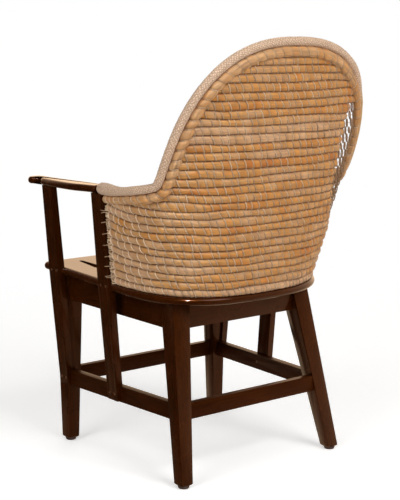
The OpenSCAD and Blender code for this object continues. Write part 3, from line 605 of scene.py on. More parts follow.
@dataclass(frozen=True)
class StrawSheet:
    """The curved and flared sheet that the straw rows follow, as in the CAD model.

    An angle of 0 is the middle of the back and 90 the front edge of a side; a height counts
    along the rows from the seat up.
    """

    seat_height: float = 458.0
    slope: float = 0.0524078
    middle_y: float = 55.2641
    front_y: float = 29.3
    rows_height: float = 541.0
    wing_height: float = 186.0
    wing_rise: float = 0.17
    cut_steepness: float = 2.83
    hollow: float = 32.0
    side_x: float = 271.0
    flare: float = 0.44
    front_x: float = 268.0
    front_flare: float = 0.098
    rear_y: float = 291.0
    rake: float = 0.21
    rake_ease: float = 0.000075
    roundness: float = 2.54
    pitch: float = 18.8
    crest: float = 3.0
    wing_start: float = 1.28
    wing_lift: float = 0.05
    level_height: float = 600.0

    def power(self, value: np.ndarray) -> np.ndarray:
        """Raise a sine or cosine to the power that makes the plan squarer than an ellipse."""
        return np.abs(value) ** (2 / self.roundness)

    def wing(self, phi: np.ndarray) -> np.ndarray:
        """Say how far a place belongs to the wings, from 0 at the back to 1 at the front edge."""
        return (1 - self.power(np.cos(np.radians(phi)))) ** self.wing_start

    def rear(self, h: np.ndarray) -> np.ndarray:
        """Give how far back the sheet reaches at a height."""
        return self.rear_y + self.rake * h - self.rake_ease * h * h

    def plan(self, phi: np.ndarray, h: np.ndarray) -> np.ndarray:
        """Give the sheet's outer crest in plan.

        Args:
            phi: Angles in degrees.
            h: Heights along the rows.

        Returns:
            X and Y for each place.
        """
        w = self.wing(phi)
        half = (self.side_x + self.flare * h) * (1 - w) + (self.front_x + self.front_flare * h) * w
        x = np.sign(phi) * self.power(np.sin(np.radians(phi))) * half
        y = self.front_y + (self.rear(h) - self.front_y) * self.power(np.cos(np.radians(phi)))
        return np.stack([x, y], -1)

    def at(self, phi: np.ndarray, h: np.ndarray, depth: float | np.ndarray = 0.0) -> np.ndarray:
        """Give places in the sheet.

        Args:
            phi: Angles in degrees.
            h: Heights along the rows.
            depth: How far inside the outer crest.

        Returns:
            Points in millimetres, in the chair's own frame.
        """
        phi, h = np.asarray(phi, float), np.asarray(h, float)
        step = self.plan(np.minimum(90, phi + 0.5), h) - self.plan(np.maximum(-90, phi - 0.5), h)
        out = np.stack([-step[..., 1], step[..., 0]], -1)
        out /= np.linalg.norm(out, axis=-1, keepdims=True)
        q = self.plan(phi, h) - np.asarray(depth)[..., None] * out
        z = (self.seat_height - self.slope * q[..., 1] * (1 - h / self.level_height)
             + h * (1 + self.wing_lift * self.wing(phi)))
        return np.stack([q[..., 0], q[..., 1] - self.middle_y, z], -1)

    def edge_height(self, phi: np.ndarray) -> np.ndarray:
        """Give the height at which the rows are cut off under the border.

        Args:
            phi: Angles in degrees.

        Returns:
            Heights along the rows.
        """
        # The arch is where a steep plane cuts the leaning back, which comes to a square root.
        c = self.power(np.cos(np.radians(phi)))
        arm = self.wing_height + self.wing_rise * (self.rear_y - self.front_y) * c
        c = c * self.cut_steepness
        b = 1 - self.rake * c
        d = (self.rows_height - self.cut_steepness * (self.rear(self.rows_height) - self.front_y)
             + c * (self.rear_y - self.front_y))
        arch = 2 * d / (b + np.sqrt(np.maximum(0, b * b + 4 * c * self.rake_ease * d)))
        # A smooth maximum of both heights gives the hollow between wing and arch.
        return (arm + arch) / 2 + np.sqrt((arm - arch) ** 2 / 4 + self.hollow ** 2)

    def worn(self, phi: np.ndarray) -> np.ndarray:
        """Say how far a place lies in the border's worn and open stretch, from 0 to 1."""
        return eased(-phi, 16, 28) * eased(phi, -66, -52)

    def axes(self, phi: np.ndarray, h: np.ndarray,
             way: np.ndarray) -> tuple[np.ndarray, np.ndarray]:
        """Give the outward and upward directions of the sheet along a line in it.

        Args:
            phi: Angles in degrees.
            h: Heights along the rows.
            way: The line's unit directions.

        Returns:
            Unit vectors out of the sheet, and up in it.
        """
        up = unit(self.at(phi, h + 1) - self.at(phi, h))
        out = unit(np.cross(up, way))
        return out, np.cross(way, out)


def unit(v: np.ndarray) -> np.ndarray:
    """Scale vectors to a length of 1."""
    return v / np.linalg.norm(v, axis=-1, keepdims=True)


def eased(value: np.ndarray, start: float, end: float) -> np.ndarray:
    """Ease from 0 up to a start to 1 from an end on.

    Args:
        value: What counts, such as an angle.
        start: Where the change starts.
        end: Where it ends.

    Returns:
        The share at each value.
    """
    t = np.clip((value - start) / (end - start), 0, 1)
    return t * t * (3 - 2 * t)


def sections(centre: np.ndarray, out: np.ndarray, up: np.ndarray, wide: np.ndarray,
             high: np.ndarray) -> np.ndarray:
    """Lay the sections of a tube across its line.

    Args:
        centre: The line's points.
        out: A unit direction across it at each point.
        up: The other direction across it.
        wide: How far each corner of each section lies along the first direction.
        high: The same for the second.

    Returns:
        The corners of each section.
    """
    return centre[:, None] + out[:, None] * wide[..., None] + up[:, None] * high[..., None]


def nearest(line: np.ndarray, marks: np.ndarray) -> np.ndarray:
    """Give the number of the line's place that is nearest to each mark."""
    return np.abs(line[:, None] - marks[None, :]).argmin(axis=0)


def gaps_to(line: np.ndarray, shift: np.ndarray, marks: np.ndarray) -> np.ndarray:
    """Give how far each corner of each section is from the nearest slanted thread.

    Args:
        line: How far along each section is.
        shift: How far the slant carries a thread along at each corner.
        marks: How far along the threads are.

    Returns:
        The distances.
    """
    return np.min(np.abs((line[:, None] - shift)[..., None] - marks), axis=2)


def headings(points: np.ndarray) -> np.ndarray:
    """Give the unit direction of a line at each of its points."""
    return unit(np.gradient(points, axis=0))


def run_of(points: np.ndarray) -> np.ndarray:
    """Give how far along a line each of its points is."""
    steps = np.linalg.norm(np.diff(points, axis=0), axis=1)
    return np.concatenate([[0.0], np.cumsum(steps)])


def slow_noise(rng: np.random.Generator, places: np.ndarray, period: float) -> np.ndarray:
    """Give a smooth random wobble between about -1 and 1.

    Args:
        rng: The seeded generator.
        places: Where along a line the wobble is wanted, in millimetres.
        period: The length of a wave, in millimetres.

    Returns:
        The wobble at each place.
    """
    knots = np.arange(places.min() - period, places.max() + 2 * period, period)
    values = rng.uniform(-1, 1, len(knots))
    return np.interp(places, knots, values)


@dataclass
class StitchSet:
    """Loops of thread round a bundle, held until Geometry Nodes lay them."""

    loops: list[tuple[np.ndarray, ...]] = field(default_factory=list)

    def add(self, spots: np.ndarray, outs: np.ndarray, ups: np.ndarray, sizes: np.ndarray,
            bolds: np.ndarray) -> None:
        """Add loops.

        Args:
            spots: The loops' centres in millimetres.
            outs: The outward direction at each.
            ups: The direction across the bundle at each.
            sizes: Half the depth and half the height of each loop in millimetres.
            bolds: From 0, a thin dull thread, to 1, a thick pale one.
        """
        self.loops.append((spots, outs, ups, sizes, bolds))

    def to_object(self, name: str, finish: Finish, inputs: dict[str, float]) -> Object:
        """Lay the loops with Geometry Nodes and make them one plain mesh.

        Args:
            name: The piece's name.
            finish: The thread's finish.
            inputs: Values for the tree's named inputs.

        Returns:
            The stitches as one object.
        """
        spots, outs, ups, sizes, bolds = (np.concatenate(part) for part in zip(*self.loops))
        mesh = bpy.data.meshes.new(name)
        mesh.from_pydata((spots * MM).tolist(), [], [])
        scale = np.concatenate([sizes * MM, np.ones((len(sizes), 1))], 1)
        for key, kind, slot, values in (("out_way", "FLOAT_VECTOR", "vector", outs),
                                        ("up_way", "FLOAT_VECTOR", "vector", ups),
                                        ("loop_size", "FLOAT_VECTOR", "vector", scale),
                                        ("bold", "FLOAT", "value", bolds)):
            mesh.attributes.new(key, kind, "POINT").data.foreach_set(
                slot, values.astype(np.float32).ravel())
        piece = new_object(name, mesh)
        tree = loop_tree(finish.material())
        modifier = piece.modifiers.new("loops", "NODES")
        modifier.node_group = tree
        for item in tree.interface.items_tree:
            if item.item_type == "SOCKET" and item.name in inputs:
                modifier[item.identifier] = inputs[item.name]
        return bake(piece)


def loop_lean(tree: NodeTree, given: bpy.types.bpy_prop_collection) -> NodeSocket:
    """Give each loop its own lean round the common one.

    Args:
        tree: The tree of the loops.
        given: The outputs of its Group Input.

    Returns:
        The lean in radians.
    """
    lower = add_node(tree, "ShaderNodeMath", MULTIPLY, {0: given["Swing"], 1: -1.0})
    swing = add_node(tree, "FunctionNodeRandomValue", {"data_type": "FLOAT"},
                     {2: lower.outputs[0], 3: given["Swing"], "Seed": given["Seed"]})
    return add_node(tree, "ShaderNodeMath", {"operation": "ADD"},
                    {0: given["Slant"], 1: swing.outputs[1]}).outputs[0]


def loop_tree(material: Material) -> NodeTree:
    """Build the Geometry Nodes that lay one loop of thread at each point.

    Each loop is an ellipse of its own size, so it is shaped before it gets its round section.

    Args:
        material: The thread's material.

    Returns:
        The node tree with its named inputs.
    """
    tree = bpy.data.node_groups.new("thread_loops", "GeometryNodeTree")
    sockets = tree.interface
    sockets.new_socket("Geometry", in_out="INPUT", socket_type="NodeSocketGeometry")
    for name, start in (("Thread radius", 0.001), ("Slant", 0.0), ("Swing", 0.08), ("Seed", 0),
                        ("Sides", 5), ("Corners", 12)):
        kind = "NodeSocketInt" if isinstance(start, int) else "NodeSocketFloat"
        sockets.new_socket(name, in_out="INPUT", socket_type=kind).default_value = start
    sockets.new_socket("Geometry", in_out="OUTPUT", socket_type="NodeSocketGeometry")
    given = add_node(tree, "NodeGroupInput").outputs
    out_way, up_way, size = (
        add_node(tree, "GeometryNodeInputNamedAttribute", {"data_type": "FLOAT_VECTOR"},
                 {"Name": key}).outputs["Attribute"] for key in ("out_way", "up_way", "loop_size"))
    loop = add_node(tree, "GeometryNodeCurvePrimitiveCircle", None,
                    {"Resolution": given["Corners"], "Radius": 1.0})
    aim_at = add_node(tree, "FunctionNodeAxesToRotation",
                      {"primary_axis": "X", "secondary_axis": "Y"},
                      {"Primary Axis": out_way, "Secondary Axis": up_way})
    turn = add_node(tree, "FunctionNodeAxisAngleToRotation", None,
                    {"Axis": (1.0, 0.0, 0.0), "Angle": loop_lean(tree, given)})
    both = add_node(tree, "FunctionNodeRotateRotation", {"rotation_space": "LOCAL"},
                    {"Rotation": aim_at.outputs[0], "Rotate By": turn.outputs[0]})
    laid = add_node(tree, "GeometryNodeInstanceOnPoints", None,
                    {"Points": given["Geometry"], "Instance": loop.outputs[0],
                     "Rotation": both.outputs[0], "Scale": size})
    real = add_node(tree, "GeometryNodeRealizeInstances", None, {"Geometry": laid.outputs[0]})
    section = add_node(tree, "GeometryNodeCurvePrimitiveCircle", None,
                       {"Resolution": given["Sides"], "Radius": given["Thread radius"]})
    bold = add_node(tree, "GeometryNodeInputNamedAttribute", {"data_type": "FLOAT"},
                    {"Name": "bold"})
    share = add_node(tree, "ShaderNodeMapRange", None,
                     {"Value": bold.outputs["Attribute"], "To Min": 0.4, "To Max": 1.0})
    sized = add_node(tree, "GeometryNodeSetCurveRadius", None,
                     {"Curve": real.outputs[0], "Radius": share.outputs["Result"]})
    thread = add_node(tree, "GeometryNodeCurveToMesh", None,
                      {"Curve": sized.outputs[0], "Profile Curve": section.outputs[0]})
    round_off = add_node(tree, "GeometryNodeSetShadeSmooth", None, {"Geometry": thread.outputs[0]})
    dressed = add_node(tree, "GeometryNodeSetMaterial", None,
                       {"Geometry": round_off.outputs[0], "Material": material})
    add_node(tree, "NodeGroupOutput", None, {"Geometry": dressed.outputs[0]})
    return tree


def settle(piece: Object, finish: Finish, nodes: list[str]) -> Object:
    """Let a finished piece ride on the chair and stand for its CAD nodes.

    Args:
        piece: The piece.
        finish: Its finish, which names the record's slot. It is not used.
        nodes: The CAD nodes that it replaces.

    Returns:
        The piece.
    """
    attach(piece, "root")
    if nodes:
        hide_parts(*nodes)
    LOG.info("%s: %d faces", piece.name, len(piece.data.polygons))
    return piece


@dataclass(frozen=True)
class RowLine:
    """The middle line of one row, in steps, with what it takes to lay sections across it."""

    number: int
    run: np.ndarray
    phi: np.ndarray
    half: np.ndarray
    centre: np.ndarray
    out: np.ndarray
    up: np.ndarray
    at_post: bool


@dataclass
class SewnBack:
    """The rows of straw, each a bundle pinched by its stitches, and the threads round them."""

    sheet: StrawSheet
    stitch_pitch: float = 20.5
    stitch_stray: float = 3.4
    thread: float = 1.5
    half_depth: float = 8.3
    sway: float = 0.7
    end_room: float = 9.0
    tuck: float = 9.0
    worn_tuck: float = 9.0
    longest_tuck: float = 60.0
    least_height: float = 4.0
    slant: float = 0.42
    swing: float = 0.14
    plump_height: float = 1.12
    plump_depth: float = 1.03
    swell: float = 0.05
    pinch_reach: float = 3.0
    pinch_height: float = 0.09
    first_pinch_height: float = 0.22
    pinch_depth: float = 0.21
    crease_reach: float = 2.0
    crease_shade: float = 0.45
    worn_rows: tuple[int, ...] = (7, 9, 12, 16, 20, 22)
    worn_from: tuple[float, ...] = (-49.0, -56.0, -61.0, -61.0, -61.0, -61.0)
    worn_to: tuple[float, ...] = (-41.0, -33.0, -28.0, -25.0, -23.5, -24.0)
    worn_away: float = 0.95
    bare_columns: tuple[float, ...] = (-52.0, -41.0, -34.0, -29.5, -26.0)
    unevenness: float = 2.2
    tones: tuple[float, ...] = (0.22, 0.34, 0.44, 0.52, 0.68)
    tone_shares: tuple[float, ...] = (0.15, 0.25, 0.25, 0.25, 0.1)
    shaded_rows: int = 13
    straw_offset: float = 137.0
    station: float = 2.6
    sides: int = 14
    seed: int = 11
    groups: tuple[int, ...] = (0, 9, 18, 40)

    def wander(self, k: int, phi: np.ndarray) -> np.ndarray:
        """Give how far the seam under a row strays from its even height.

        Args:
            k: The row's number.
            phi: Angles in degrees.

        Returns:
            Heights in millimetres, none under the first row.
        """
        rng = np.random.default_rng((self.seed, k))
        wobble = slow_noise(rng, phi, 9) + 0.6 * slow_noise(rng, phi, 27)
        return self.unevenness * wobble * (k > 0)

    def line(self, k: int, rng: np.random.Generator) -> RowLine:
        """Find where a row runs, between the seam under it and the next one or the border.

        Args:
            k: The row's number from the seat up.
            rng: The seeded generator.

        Returns:
            The row's line.
        """
        sheet = self.sheet
        phi = np.linspace(-90, 90, 1441)
        low = k * sheet.pitch + self.wander(k, phi)
        edge = sheet.edge_height(phi)
        edge_run = run_of(sheet.at(phi, low))
        # A row's end slips under the border, further where the border runs steeply.
        steep = np.hypot(1, np.gradient(edge, edge_run))
        tuck = (self.tuck + self.worn_tuck * sheet.worn(phi)) * steep
        high = np.minimum((k + 1) * sheet.pitch + self.wander(k + 1, phi),
                          edge + np.minimum(self.longest_tuck, tuck))
        keep = high - low > self.least_height
        phi, low, high = phi[keep], low[keep], high[keep]
        along = run_of(sheet.at(phi, (low + high) / 2, self.half_depth))
        at_post = bool(phi[-1] > 89.9)
        trim = self.end_room if at_post else 0.0
        count = max(8, int((along[-1] - 2 * trim) / self.station))
        run = np.linspace(trim, along[-1] - trim, count)
        phi, low, high = (np.interp(run, along, values) for values in (phi, low, high))
        height = (low + high) / 2
        centre = sheet.at(phi, height, self.half_depth + self.sway * slow_noise(rng, run, 40))
        out, up = sheet.axes(phi, height, headings(centre))
        return RowLine(k, run, phi, (high - low) / 2, centre, out, up, at_post)

    def marks(self, row: RowLine, rng: np.random.Generator) -> np.ndarray:
        """Say where a row's threads go round: closer in the first row, wider apart on the wings.

        Args:
            row: The row's line.
            rng: The seeded generator.

        Returns:
            How far along the row each thread is.
        """
        wider = 0.75 if row.number == 0 else 1 + 0.3 * eased(np.abs(row.phi), 50, 75)
        pitch = np.broadcast_to(self.stitch_pitch * wider, row.run.shape)
        counted = np.concatenate([[0.0], np.cumsum(np.diff(row.run) / pitch[1:])])
        marks = np.interp(np.arange(rng.uniform(0.2, 0.8), counted[-1] - 0.2), counted, row.run)
        marks = marks + rng.uniform(-self.stitch_stray, self.stitch_stray, len(marks))
        if row.at_post:
            first, last = row.run[0], row.run[-1]
            marks = np.concatenate([[first + 3, first + 8], marks[1:-1], [last - 8, last - 3]])
        return marks

    def wear(self, row: RowLine, marks: np.ndarray) -> tuple[np.ndarray, np.ndarray]:
        """Thin out a row in the worn stretch, where only a few straws and threads are left.

        Args:
            row: The row's line.
            marks: How far along its threads are.

        Returns:
            The share of the bundle that is left at each step, and the threads that are left.
        """
        if not self.worn_rows[0] <= row.number <= self.worn_rows[-1]:
            return np.ones(len(row.run)), marks
        first, last = (np.interp(np.interp(row.number, self.worn_rows, ends), row.phi, row.run)
                       for ends in (self.worn_from, self.worn_to))
        inside = eased(row.run, first - 16, first) * eased(-row.run, -last - 12, -last + 4)
        bare = np.interp(self.bare_columns, row.phi, row.run)
        bare = bare[(bare > first + 4) & (bare < last - 3)]
        kept = marks[(marks < first) | (marks > last)]
        return 1 - self.worn_away * inside, np.sort(np.concatenate([kept, bare]))

    def row(self, k: int, rng: np.random.Generator, sink: MeshSink, stitches: StitchSet) -> None:
        """Make one row and note its stitches.

        Args:
            k: The row's number from the seat up.
            rng: The seeded generator.
            sink: What collects the bundles.
            stitches: What collects the threads.
        """
        row = self.line(k, rng)
        run, phi = row.run, row.phi
        marks = self.marks(row, rng)
        angle = np.linspace(0, 2 * np.pi, self.sides, endpoint=False)
        cos, sin = np.cos(angle), np.sin(angle)
        near = gaps_to(run, row.half[:, None] * sin * math.tan(self.slant), marks)
        pinch = np.exp(-(near / self.pinch_reach) ** 2)
        swell = self.swell * slow_noise(rng, run, 19)[:, None]
        end = np.minimum(run - run[0], run[-1] - run) if row.at_post else np.full(len(run), 99.0)
        ease = np.minimum(1, 0.7 + 0.3 * end / 5)
        thin, marks = self.wear(row, marks)
        flatter = self.first_pinch_height if k == 0 else self.pinch_height
        half = (row.half * ease)[:, None] * (self.plump_height - flatter * pinch + swell)
        full = np.minimum(1, 2 * row.half / self.sheet.pitch + 0.25)
        deep = (self.half_depth * ease * full)[:, None]
        deep = deep * (self.plump_depth - self.pinch_depth * pinch + swell)
        plump = np.abs(cos) ** 0.95 * np.sign(cos)
        rings = sections(row.centre, row.out, row.up, deep * thin[:, None] * plump,
                         half * thin[:, None] * sin)
        wing = eased(phi, 35, 75) * (k < self.shaded_rows)
        tone = (rng.choice(self.tones, p=self.tone_shares) - 0.26 * wing - 0.25 * (k == 0)
                + 0.2 * slow_noise(rng, run, 110) + 0.2 * slow_noise(rng, run, self.stitch_pitch))
        # Painted shade: the bundle keeps less light close to each thread that bites it.
        painted_shade = (1.03 - self.crease_shade * np.exp(-(near / self.crease_reach) ** 2)
                  + 0.1 * slow_noise(rng, run, self.stitch_pitch / 2)[:, None])
        sink.tube(rings * MM, (run + self.straw_offset * k) * MM, STRAW.girth, tone, painted_shade)
        pick = nearest(run, marks)
        # In the worn stretch a loop keeps its height, so that it still meets its neighbours.
        size = np.stack([deep.min(axis=1)[pick] * (0.1 + 0.9 * thin[pick]) + 0.7,
                         (half.min(axis=1)[pick] + 0.5) / math.cos(self.slant)], -1)
        bold = 0.38 + 0.62 * eased(np.abs(phi[pick]), 46, 70) + rng.uniform(-0.3, 0.15, len(pick))
        bold[thin[pick] < 0.6] = 0
        stitches.add(row.centre[pick], row.out[pick], row.up[pick], size, bold)

    def build(self) -> list[Object]:
        """Make the whole back.

        Returns:
            The groups of rows and the threads.
        """
        rng = np.random.default_rng(self.seed)
        rows = int(math.ceil((self.sheet.edge_height(np.array([0.0]))[0] - 2) / self.sheet.pitch))
        pieces, stitches = [], StitchSet()
        for part, (first, last) in enumerate(zip(self.groups, self.groups[1:])):
            sink = MeshSink()
            for k in range(first, min(last, rows)):
                self.row(k, rng, sink, stitches)
            rows_piece = sink.to_object(f"straw_rows_{part + 1}", STRAW)
            pieces.append(settle(rows_piece, STRAW, ["straw_back"] if part == 0 else []))
        threads = stitches.to_object("row_stitches", STITCH, {
            "Thread radius": self.thread * MM, "Slant": self.slant, "Swing": self.swing, "Seed": 5})
        return [*pieces, settle(threads, STITCH, [])]


@dataclass
class Border:
    """What borders the rows: the straw rope, the wrapped rim, and the twine at the front edges."""

    sheet: StrawSheet
    coil_radius: float = 12.0
    coil_end_radius: float = 9.0
    coil_step: float = 2.6
    coil_sides: int = 20
    coil_ends: float = 9.0
    coil_flat: float = 0.02
    coil_plump: float = 1.08
    tie_pitch: float = 25.0
    tie_stray: float = 3.0
    tie_reach: float = 4.2
    tie_crease: float = 2.4
    tie_shade: float = 1.7
    arch_end: float = 57.0
    cord_radius: float = 3.2
    cord_girth: float = 20.0
    rim_radius: float = 10.5
    rim_end_radius: float = 15.0
    rim_ahead: float = 28.0
    rim_girth: float = 66.0
    rim_sides: int = 16
    gap: float = 0.3
    slant: float = 0.45
    ridge: float = 2.6
    ridge_depth: float = 0.028
    worn_off: float = 3.2
    coil_out: float = 2.5
    coil_drawn: float = 7.5
    rim_down: float = 3.5
    rim_in: float = 5.5
    core_half: tuple[float, float] = (7.4, 5.6)
    core_out: float = 1.5
    core_behind: float = 6.4
    core_girth: float = 45.0
    core_sides: int = 14
    winding_pitch: float = 3.8
    winding_wide: tuple[float, float] = (8.2, 10.4)
    winding_deep: tuple[float, float] = (5.9, 6.6)
    winding_stray: float = 0.8
    winding_thread: float = 1.35
    tuft_pitch: float = 26.0
    tuft_from: float = 12.0
    tuft_clear: tuple[float, float] = (280.0, 0.085)
    tuft_radius: tuple[float, float] = (1.1, 0.7)
    tuft_girth: float = 4.0
    seed: int = 23

    def line(self, step: float) -> tuple[np.ndarray, ...]:
        """Give the top edge of the rows at even steps.

        Args:
            step: The distance between places, in millimetres.

        Returns:
            Angles, places, and the outward and upward directions.
        """
        phi = np.linspace(-90, 90, 2881)
        run = run_of(self.sheet.at(phi, self.sheet.edge_height(phi), self.sheet.crest))
        phi = np.interp(np.linspace(0, run[-1], int(run[-1] / step) + 1), run, phi)
        height = self.sheet.edge_height(phi)
        place = self.sheet.at(phi, height, self.sheet.crest)
        return phi, place, *self.sheet.axes(phi, height, headings(place))

    def coil_size(self, phi: np.ndarray) -> np.ndarray:
        """Give the rope's radius at an angle."""
        part = eased(np.abs(phi), 50, 85)
        return self.coil_radius * (1 - part) + self.coil_end_radius * part

    def rim_size(self, phi: np.ndarray) -> np.ndarray:
        """Give the rim's radius at an angle."""
        part = eased(np.abs(phi), 70, 90)
        return self.rim_radius * (1 - part) + self.rim_end_radius * part

    def coil(self) -> list[Object]:
        """Make the fat rope, pinched by a thread every 25 mm, and the cord hidden behind it.

        In the worn stretch the rope is thinner and drawn in, and its upper side stays in place.

        Returns:
            The rope and its threads.
        """
        rng = np.random.default_rng(self.seed)
        phi, edge, out, up = self.line(self.coil_step)
        worn = self.sheet.worn(phi)
        radius = self.coil_size(phi) - self.worn_off * worn
        drawn = self.coil_out * worn - self.coil_drawn * eased(-phi, 32, 42) * eased(phi, -62, -50)
        rise = self.gap + radius + 2 * self.worn_off * worn
        centre = edge + up * rise[:, None] + out * drawn[:, None]
        run = run_of(centre)
        marks = np.arange(9, run[-1] - 6, self.tie_pitch)
        marks = marks + rng.uniform(-self.tie_stray, self.tie_stray, len(marks))
        # The threads bite least at the top of the arch and at the ends.
        bite = (0.14 + 0.22 * eased(np.abs(phi), 10, 40) * eased(-np.abs(phi), -88, -72))[:, None]
        angle = np.linspace(0, 2 * np.pi, self.coil_sides, endpoint=False)
        cos, sin = np.cos(angle), np.sin(angle)
        near = gaps_to(run, radius[:, None] * sin * math.tan(self.slant), marks)
        plump = (self.coil_plump - bite * np.exp(-(near / self.tie_reach) ** 2)
                 + 0.05 * slow_noise(rng, run, 24)[:, None])
        # Painted shade: the rope keeps less light close to each thread that bites it.
        painted_shade = 1 - self.tie_shade * bite * np.exp(-(near / self.tie_crease) ** 2)
        ends = np.sqrt(np.clip(np.minimum(run, run[-1] - run) / self.coil_ends, 0.12, 1))
        radius = (radius * ends)[:, None] * plump
        rings = sections(centre, out, up, radius * cos * (1 - self.coil_flat),
                         radius * sin * (1 + self.coil_flat))
        sink = MeshSink()
        tone = 0.4 + 0.3 * slow_noise(rng, run, 25) + 0.14 * slow_noise(rng, run, 120)
        sink.tube(rings * MM, run * MM, ROPE_STRAW.girth, tone, painted_shade)
        # The cord hidden behind the rope is painted in shade: it keeps 0.4 of its light.
        hidden = edge + up * (2 * self.coil_size(phi) + 1.5 * self.gap)[:, None]
        reach = np.full((len(run), 1), self.cord_radius)
        inner = slice(3, -3)
        cord = sections(hidden, out, up, reach * cos, reach * sin)[inner]
        sink.tube(cord * MM, run[inner] * MM, self.cord_girth * MM, tone[inner],
                  np.full(cord.shape[:2], 0.4))
        rope = settle(sink.to_object("border_rope", ROPE_STRAW), ROPE_STRAW, ["border_coil"])
        at = nearest(run, marks)
        places = (centre[at], out[at], up[at])
        return [rope, *self.ties(phi[at], places, radius.min(axis=1)[at], rng)]

    def ties(self, phi: np.ndarray, places: tuple[np.ndarray, ...], radius: np.ndarray,
             rng: np.random.Generator) -> list[Object]:
        """Lay the rope's threads: fine dull ones round the arch, thick pale ones on the wings.

        Args:
            phi: The angle of each thread.
            places: Its centre, and the outward and upward directions there.
            radius: The rope's radius under it.
            rng: The seeded generator.

        Returns:
            The threads of the arch and of the wings.
        """
        wide, high = radius * (1 - self.coil_flat) + 0.5, radius * (1 + self.coil_flat) + 0.5
        size = np.stack([wide, high / math.cos(self.slant)], -1)
        arch = np.abs(phi) < self.arch_end
        pieces = []
        for name, part, thread, bold, seed in (("border_threads", arch, 0.95, (0, 0.5), 3),
                                               ("border_wing_threads", ~arch, 1.3, (0.6, 1), 4)):
            loops = StitchSet()
            loops.add(*(values[part] for values in (*places, size)),
                      rng.uniform(*bold, int(part.sum())))
            threads = loops.to_object(name, STITCH, {
                "Thread radius": thread * MM, "Slant": self.slant, "Seed": seed, "Corners": 16})
            pieces.append(settle(threads, STITCH, []))
        return pieces

    def rim(self) -> Object:
        """Make the wrapped rim with turns that are drawn wide enough to show, and fat round ends.

        Returns:
            The rim.
        """
        rng = np.random.default_rng(self.seed + 1)
        step = self.ridge / 4
        phi, edge, out, up = self.line(step)
        radius, worn = self.rim_size(phi), self.sheet.worn(phi)
        rise = 2 * self.gap + 2 * self.coil_size(phi) + radius - self.rim_down * worn
        centre = edge + up * rise[:, None] - out * (self.rim_in * worn)[:, None]
        way = headings(centre)
        ahead = np.arange(step, self.rim_ahead + 0.01, step)
        ahead[-1] = self.rim_ahead
        centre = np.concatenate([centre[0] - way[0] * ahead[::-1, None], centre,
                                 centre[-1] + way[-1] * ahead[:, None]])
        pad = (len(ahead), len(ahead))
        radius = np.pad(radius, pad, "edge")
        out, up = (np.pad(v, (pad, (0, 0)), "edge") for v in (out, up))
        run = run_of(centre)
        tip = np.minimum(run, run[-1] - run)
        cap = self.rim_end_radius
        ball = np.where(tip < cap, np.sqrt(np.clip(cap ** 2 - (cap - tip) ** 2, 0.3, None)), 99.0)
        radius = (np.minimum(radius, ball) + 0.18 * slow_noise(rng, run, 40)
                  + 0.22 * slow_noise(rng, run, 7))
        angle = np.linspace(0, 2 * np.pi, self.rim_sides, endpoint=False)
        turn = 2 * np.pi * run[:, None] / self.ridge - angle[None, :]
        fine = radius[:, None] * (1 - self.ridge_depth + self.ridge_depth * np.cos(turn))
        rings = sections(centre, out, up, fine * np.cos(angle), fine * np.sin(angle))
        sink = MeshSink()
        sink.tube(rings * MM, run * MM, self.rim_girth * MM, np.zeros(len(run)))
        return settle(sink.to_object("twine_rim", WRAPPING), WRAPPING, ["wrapped_rim"])

    def front_edge(self, sign: int, rng: np.random.Generator, core: MeshSink, windings: StitchSet,
                   tufts: MeshSink) -> None:
        """Bind the rows' ends on one side with rough twine over a lumpy core.

        Args:
            sign: 1 for the sitter's left, -1 for the right.
            rng: The seeded generator.
            core: What collects the cores.
            windings: What collects the turns of twine.
            tufts: What collects the short strands that stand out.
        """
        top = float(self.sheet.edge_height(np.array([90.0]))[0])
        h = np.arange(3, top - 3, self.winding_pitch)
        phi = np.full(len(h), 90.0 * sign)
        inner = self.sheet.at(phi, h, 8)
        out = unit(self.sheet.at(phi, h) - inner)
        centre = inner + np.array([0, self.core_behind, 0]) + out * self.core_out
        up = headings(centre)
        back = unit(np.cross(up, out))
        swell = np.abs(np.sin(np.pi * h / self.sheet.pitch))
        lump = (0.94 + 0.14 * swell + 0.1 * slow_noise(rng, h, 9))[:, None]
        angle = np.linspace(0, 2 * np.pi, self.core_sides, endpoint=False)
        wide, deep = self.core_half
        rings = sections(centre, out, back, wide * lump * np.cos(angle),
                         deep * lump * np.sin(angle))
        # The core under the windings is painted in shade: it keeps a half to three quarters of its
        # light.
        core.tube(rings * MM, h * MM, self.core_girth * MM, 0.3 + 0.2 * slow_noise(rng, h, 12),
                  np.repeat(0.5 + 0.25 * slow_noise(rng, h, 9), self.core_sides))
        size = np.stack([rng.uniform(*self.winding_wide, len(h)),
                         rng.uniform(*self.winding_deep, len(h))], -1)
        tilt = unit(up + out * rng.uniform(-0.25, 0.25, (len(h), 1))
                    + back * rng.uniform(-0.3, 0.3, (len(h), 1)))
        across = -unit(np.cross(tilt, back))
        stray = rng.uniform(-self.winding_stray, self.winding_stray, (len(h), 3))
        windings.add(centre + stray, across, np.cross(across, tilt), size,
                     rng.uniform(0, 1, len(h)))
        clear_x, flare = self.tuft_clear
        for spot in np.arange(self.tuft_from, top - 4, self.tuft_pitch):
            for _ in range(rng.integers(1, 3)):
                k = int(np.clip(np.searchsorted(h, spot + rng.uniform(-3, 3)), 1, len(h) - 2))
                start = centre[k] + out[k] * 5 + np.array([0, -1, 0])
                clear = np.array([sign * (clear_x + flare * h[k]), start[1] - 3, start[2]])
                tip = clear + [sign * rng.uniform(3, 6), -rng.uniform(1, 4), rng.uniform(-2, 2.5)]
                bend = (start + clear) / 2 + [0, 0.6, 0.4]
                self.strand(tufts, np.array([start, bend, clear, tip]), rng)

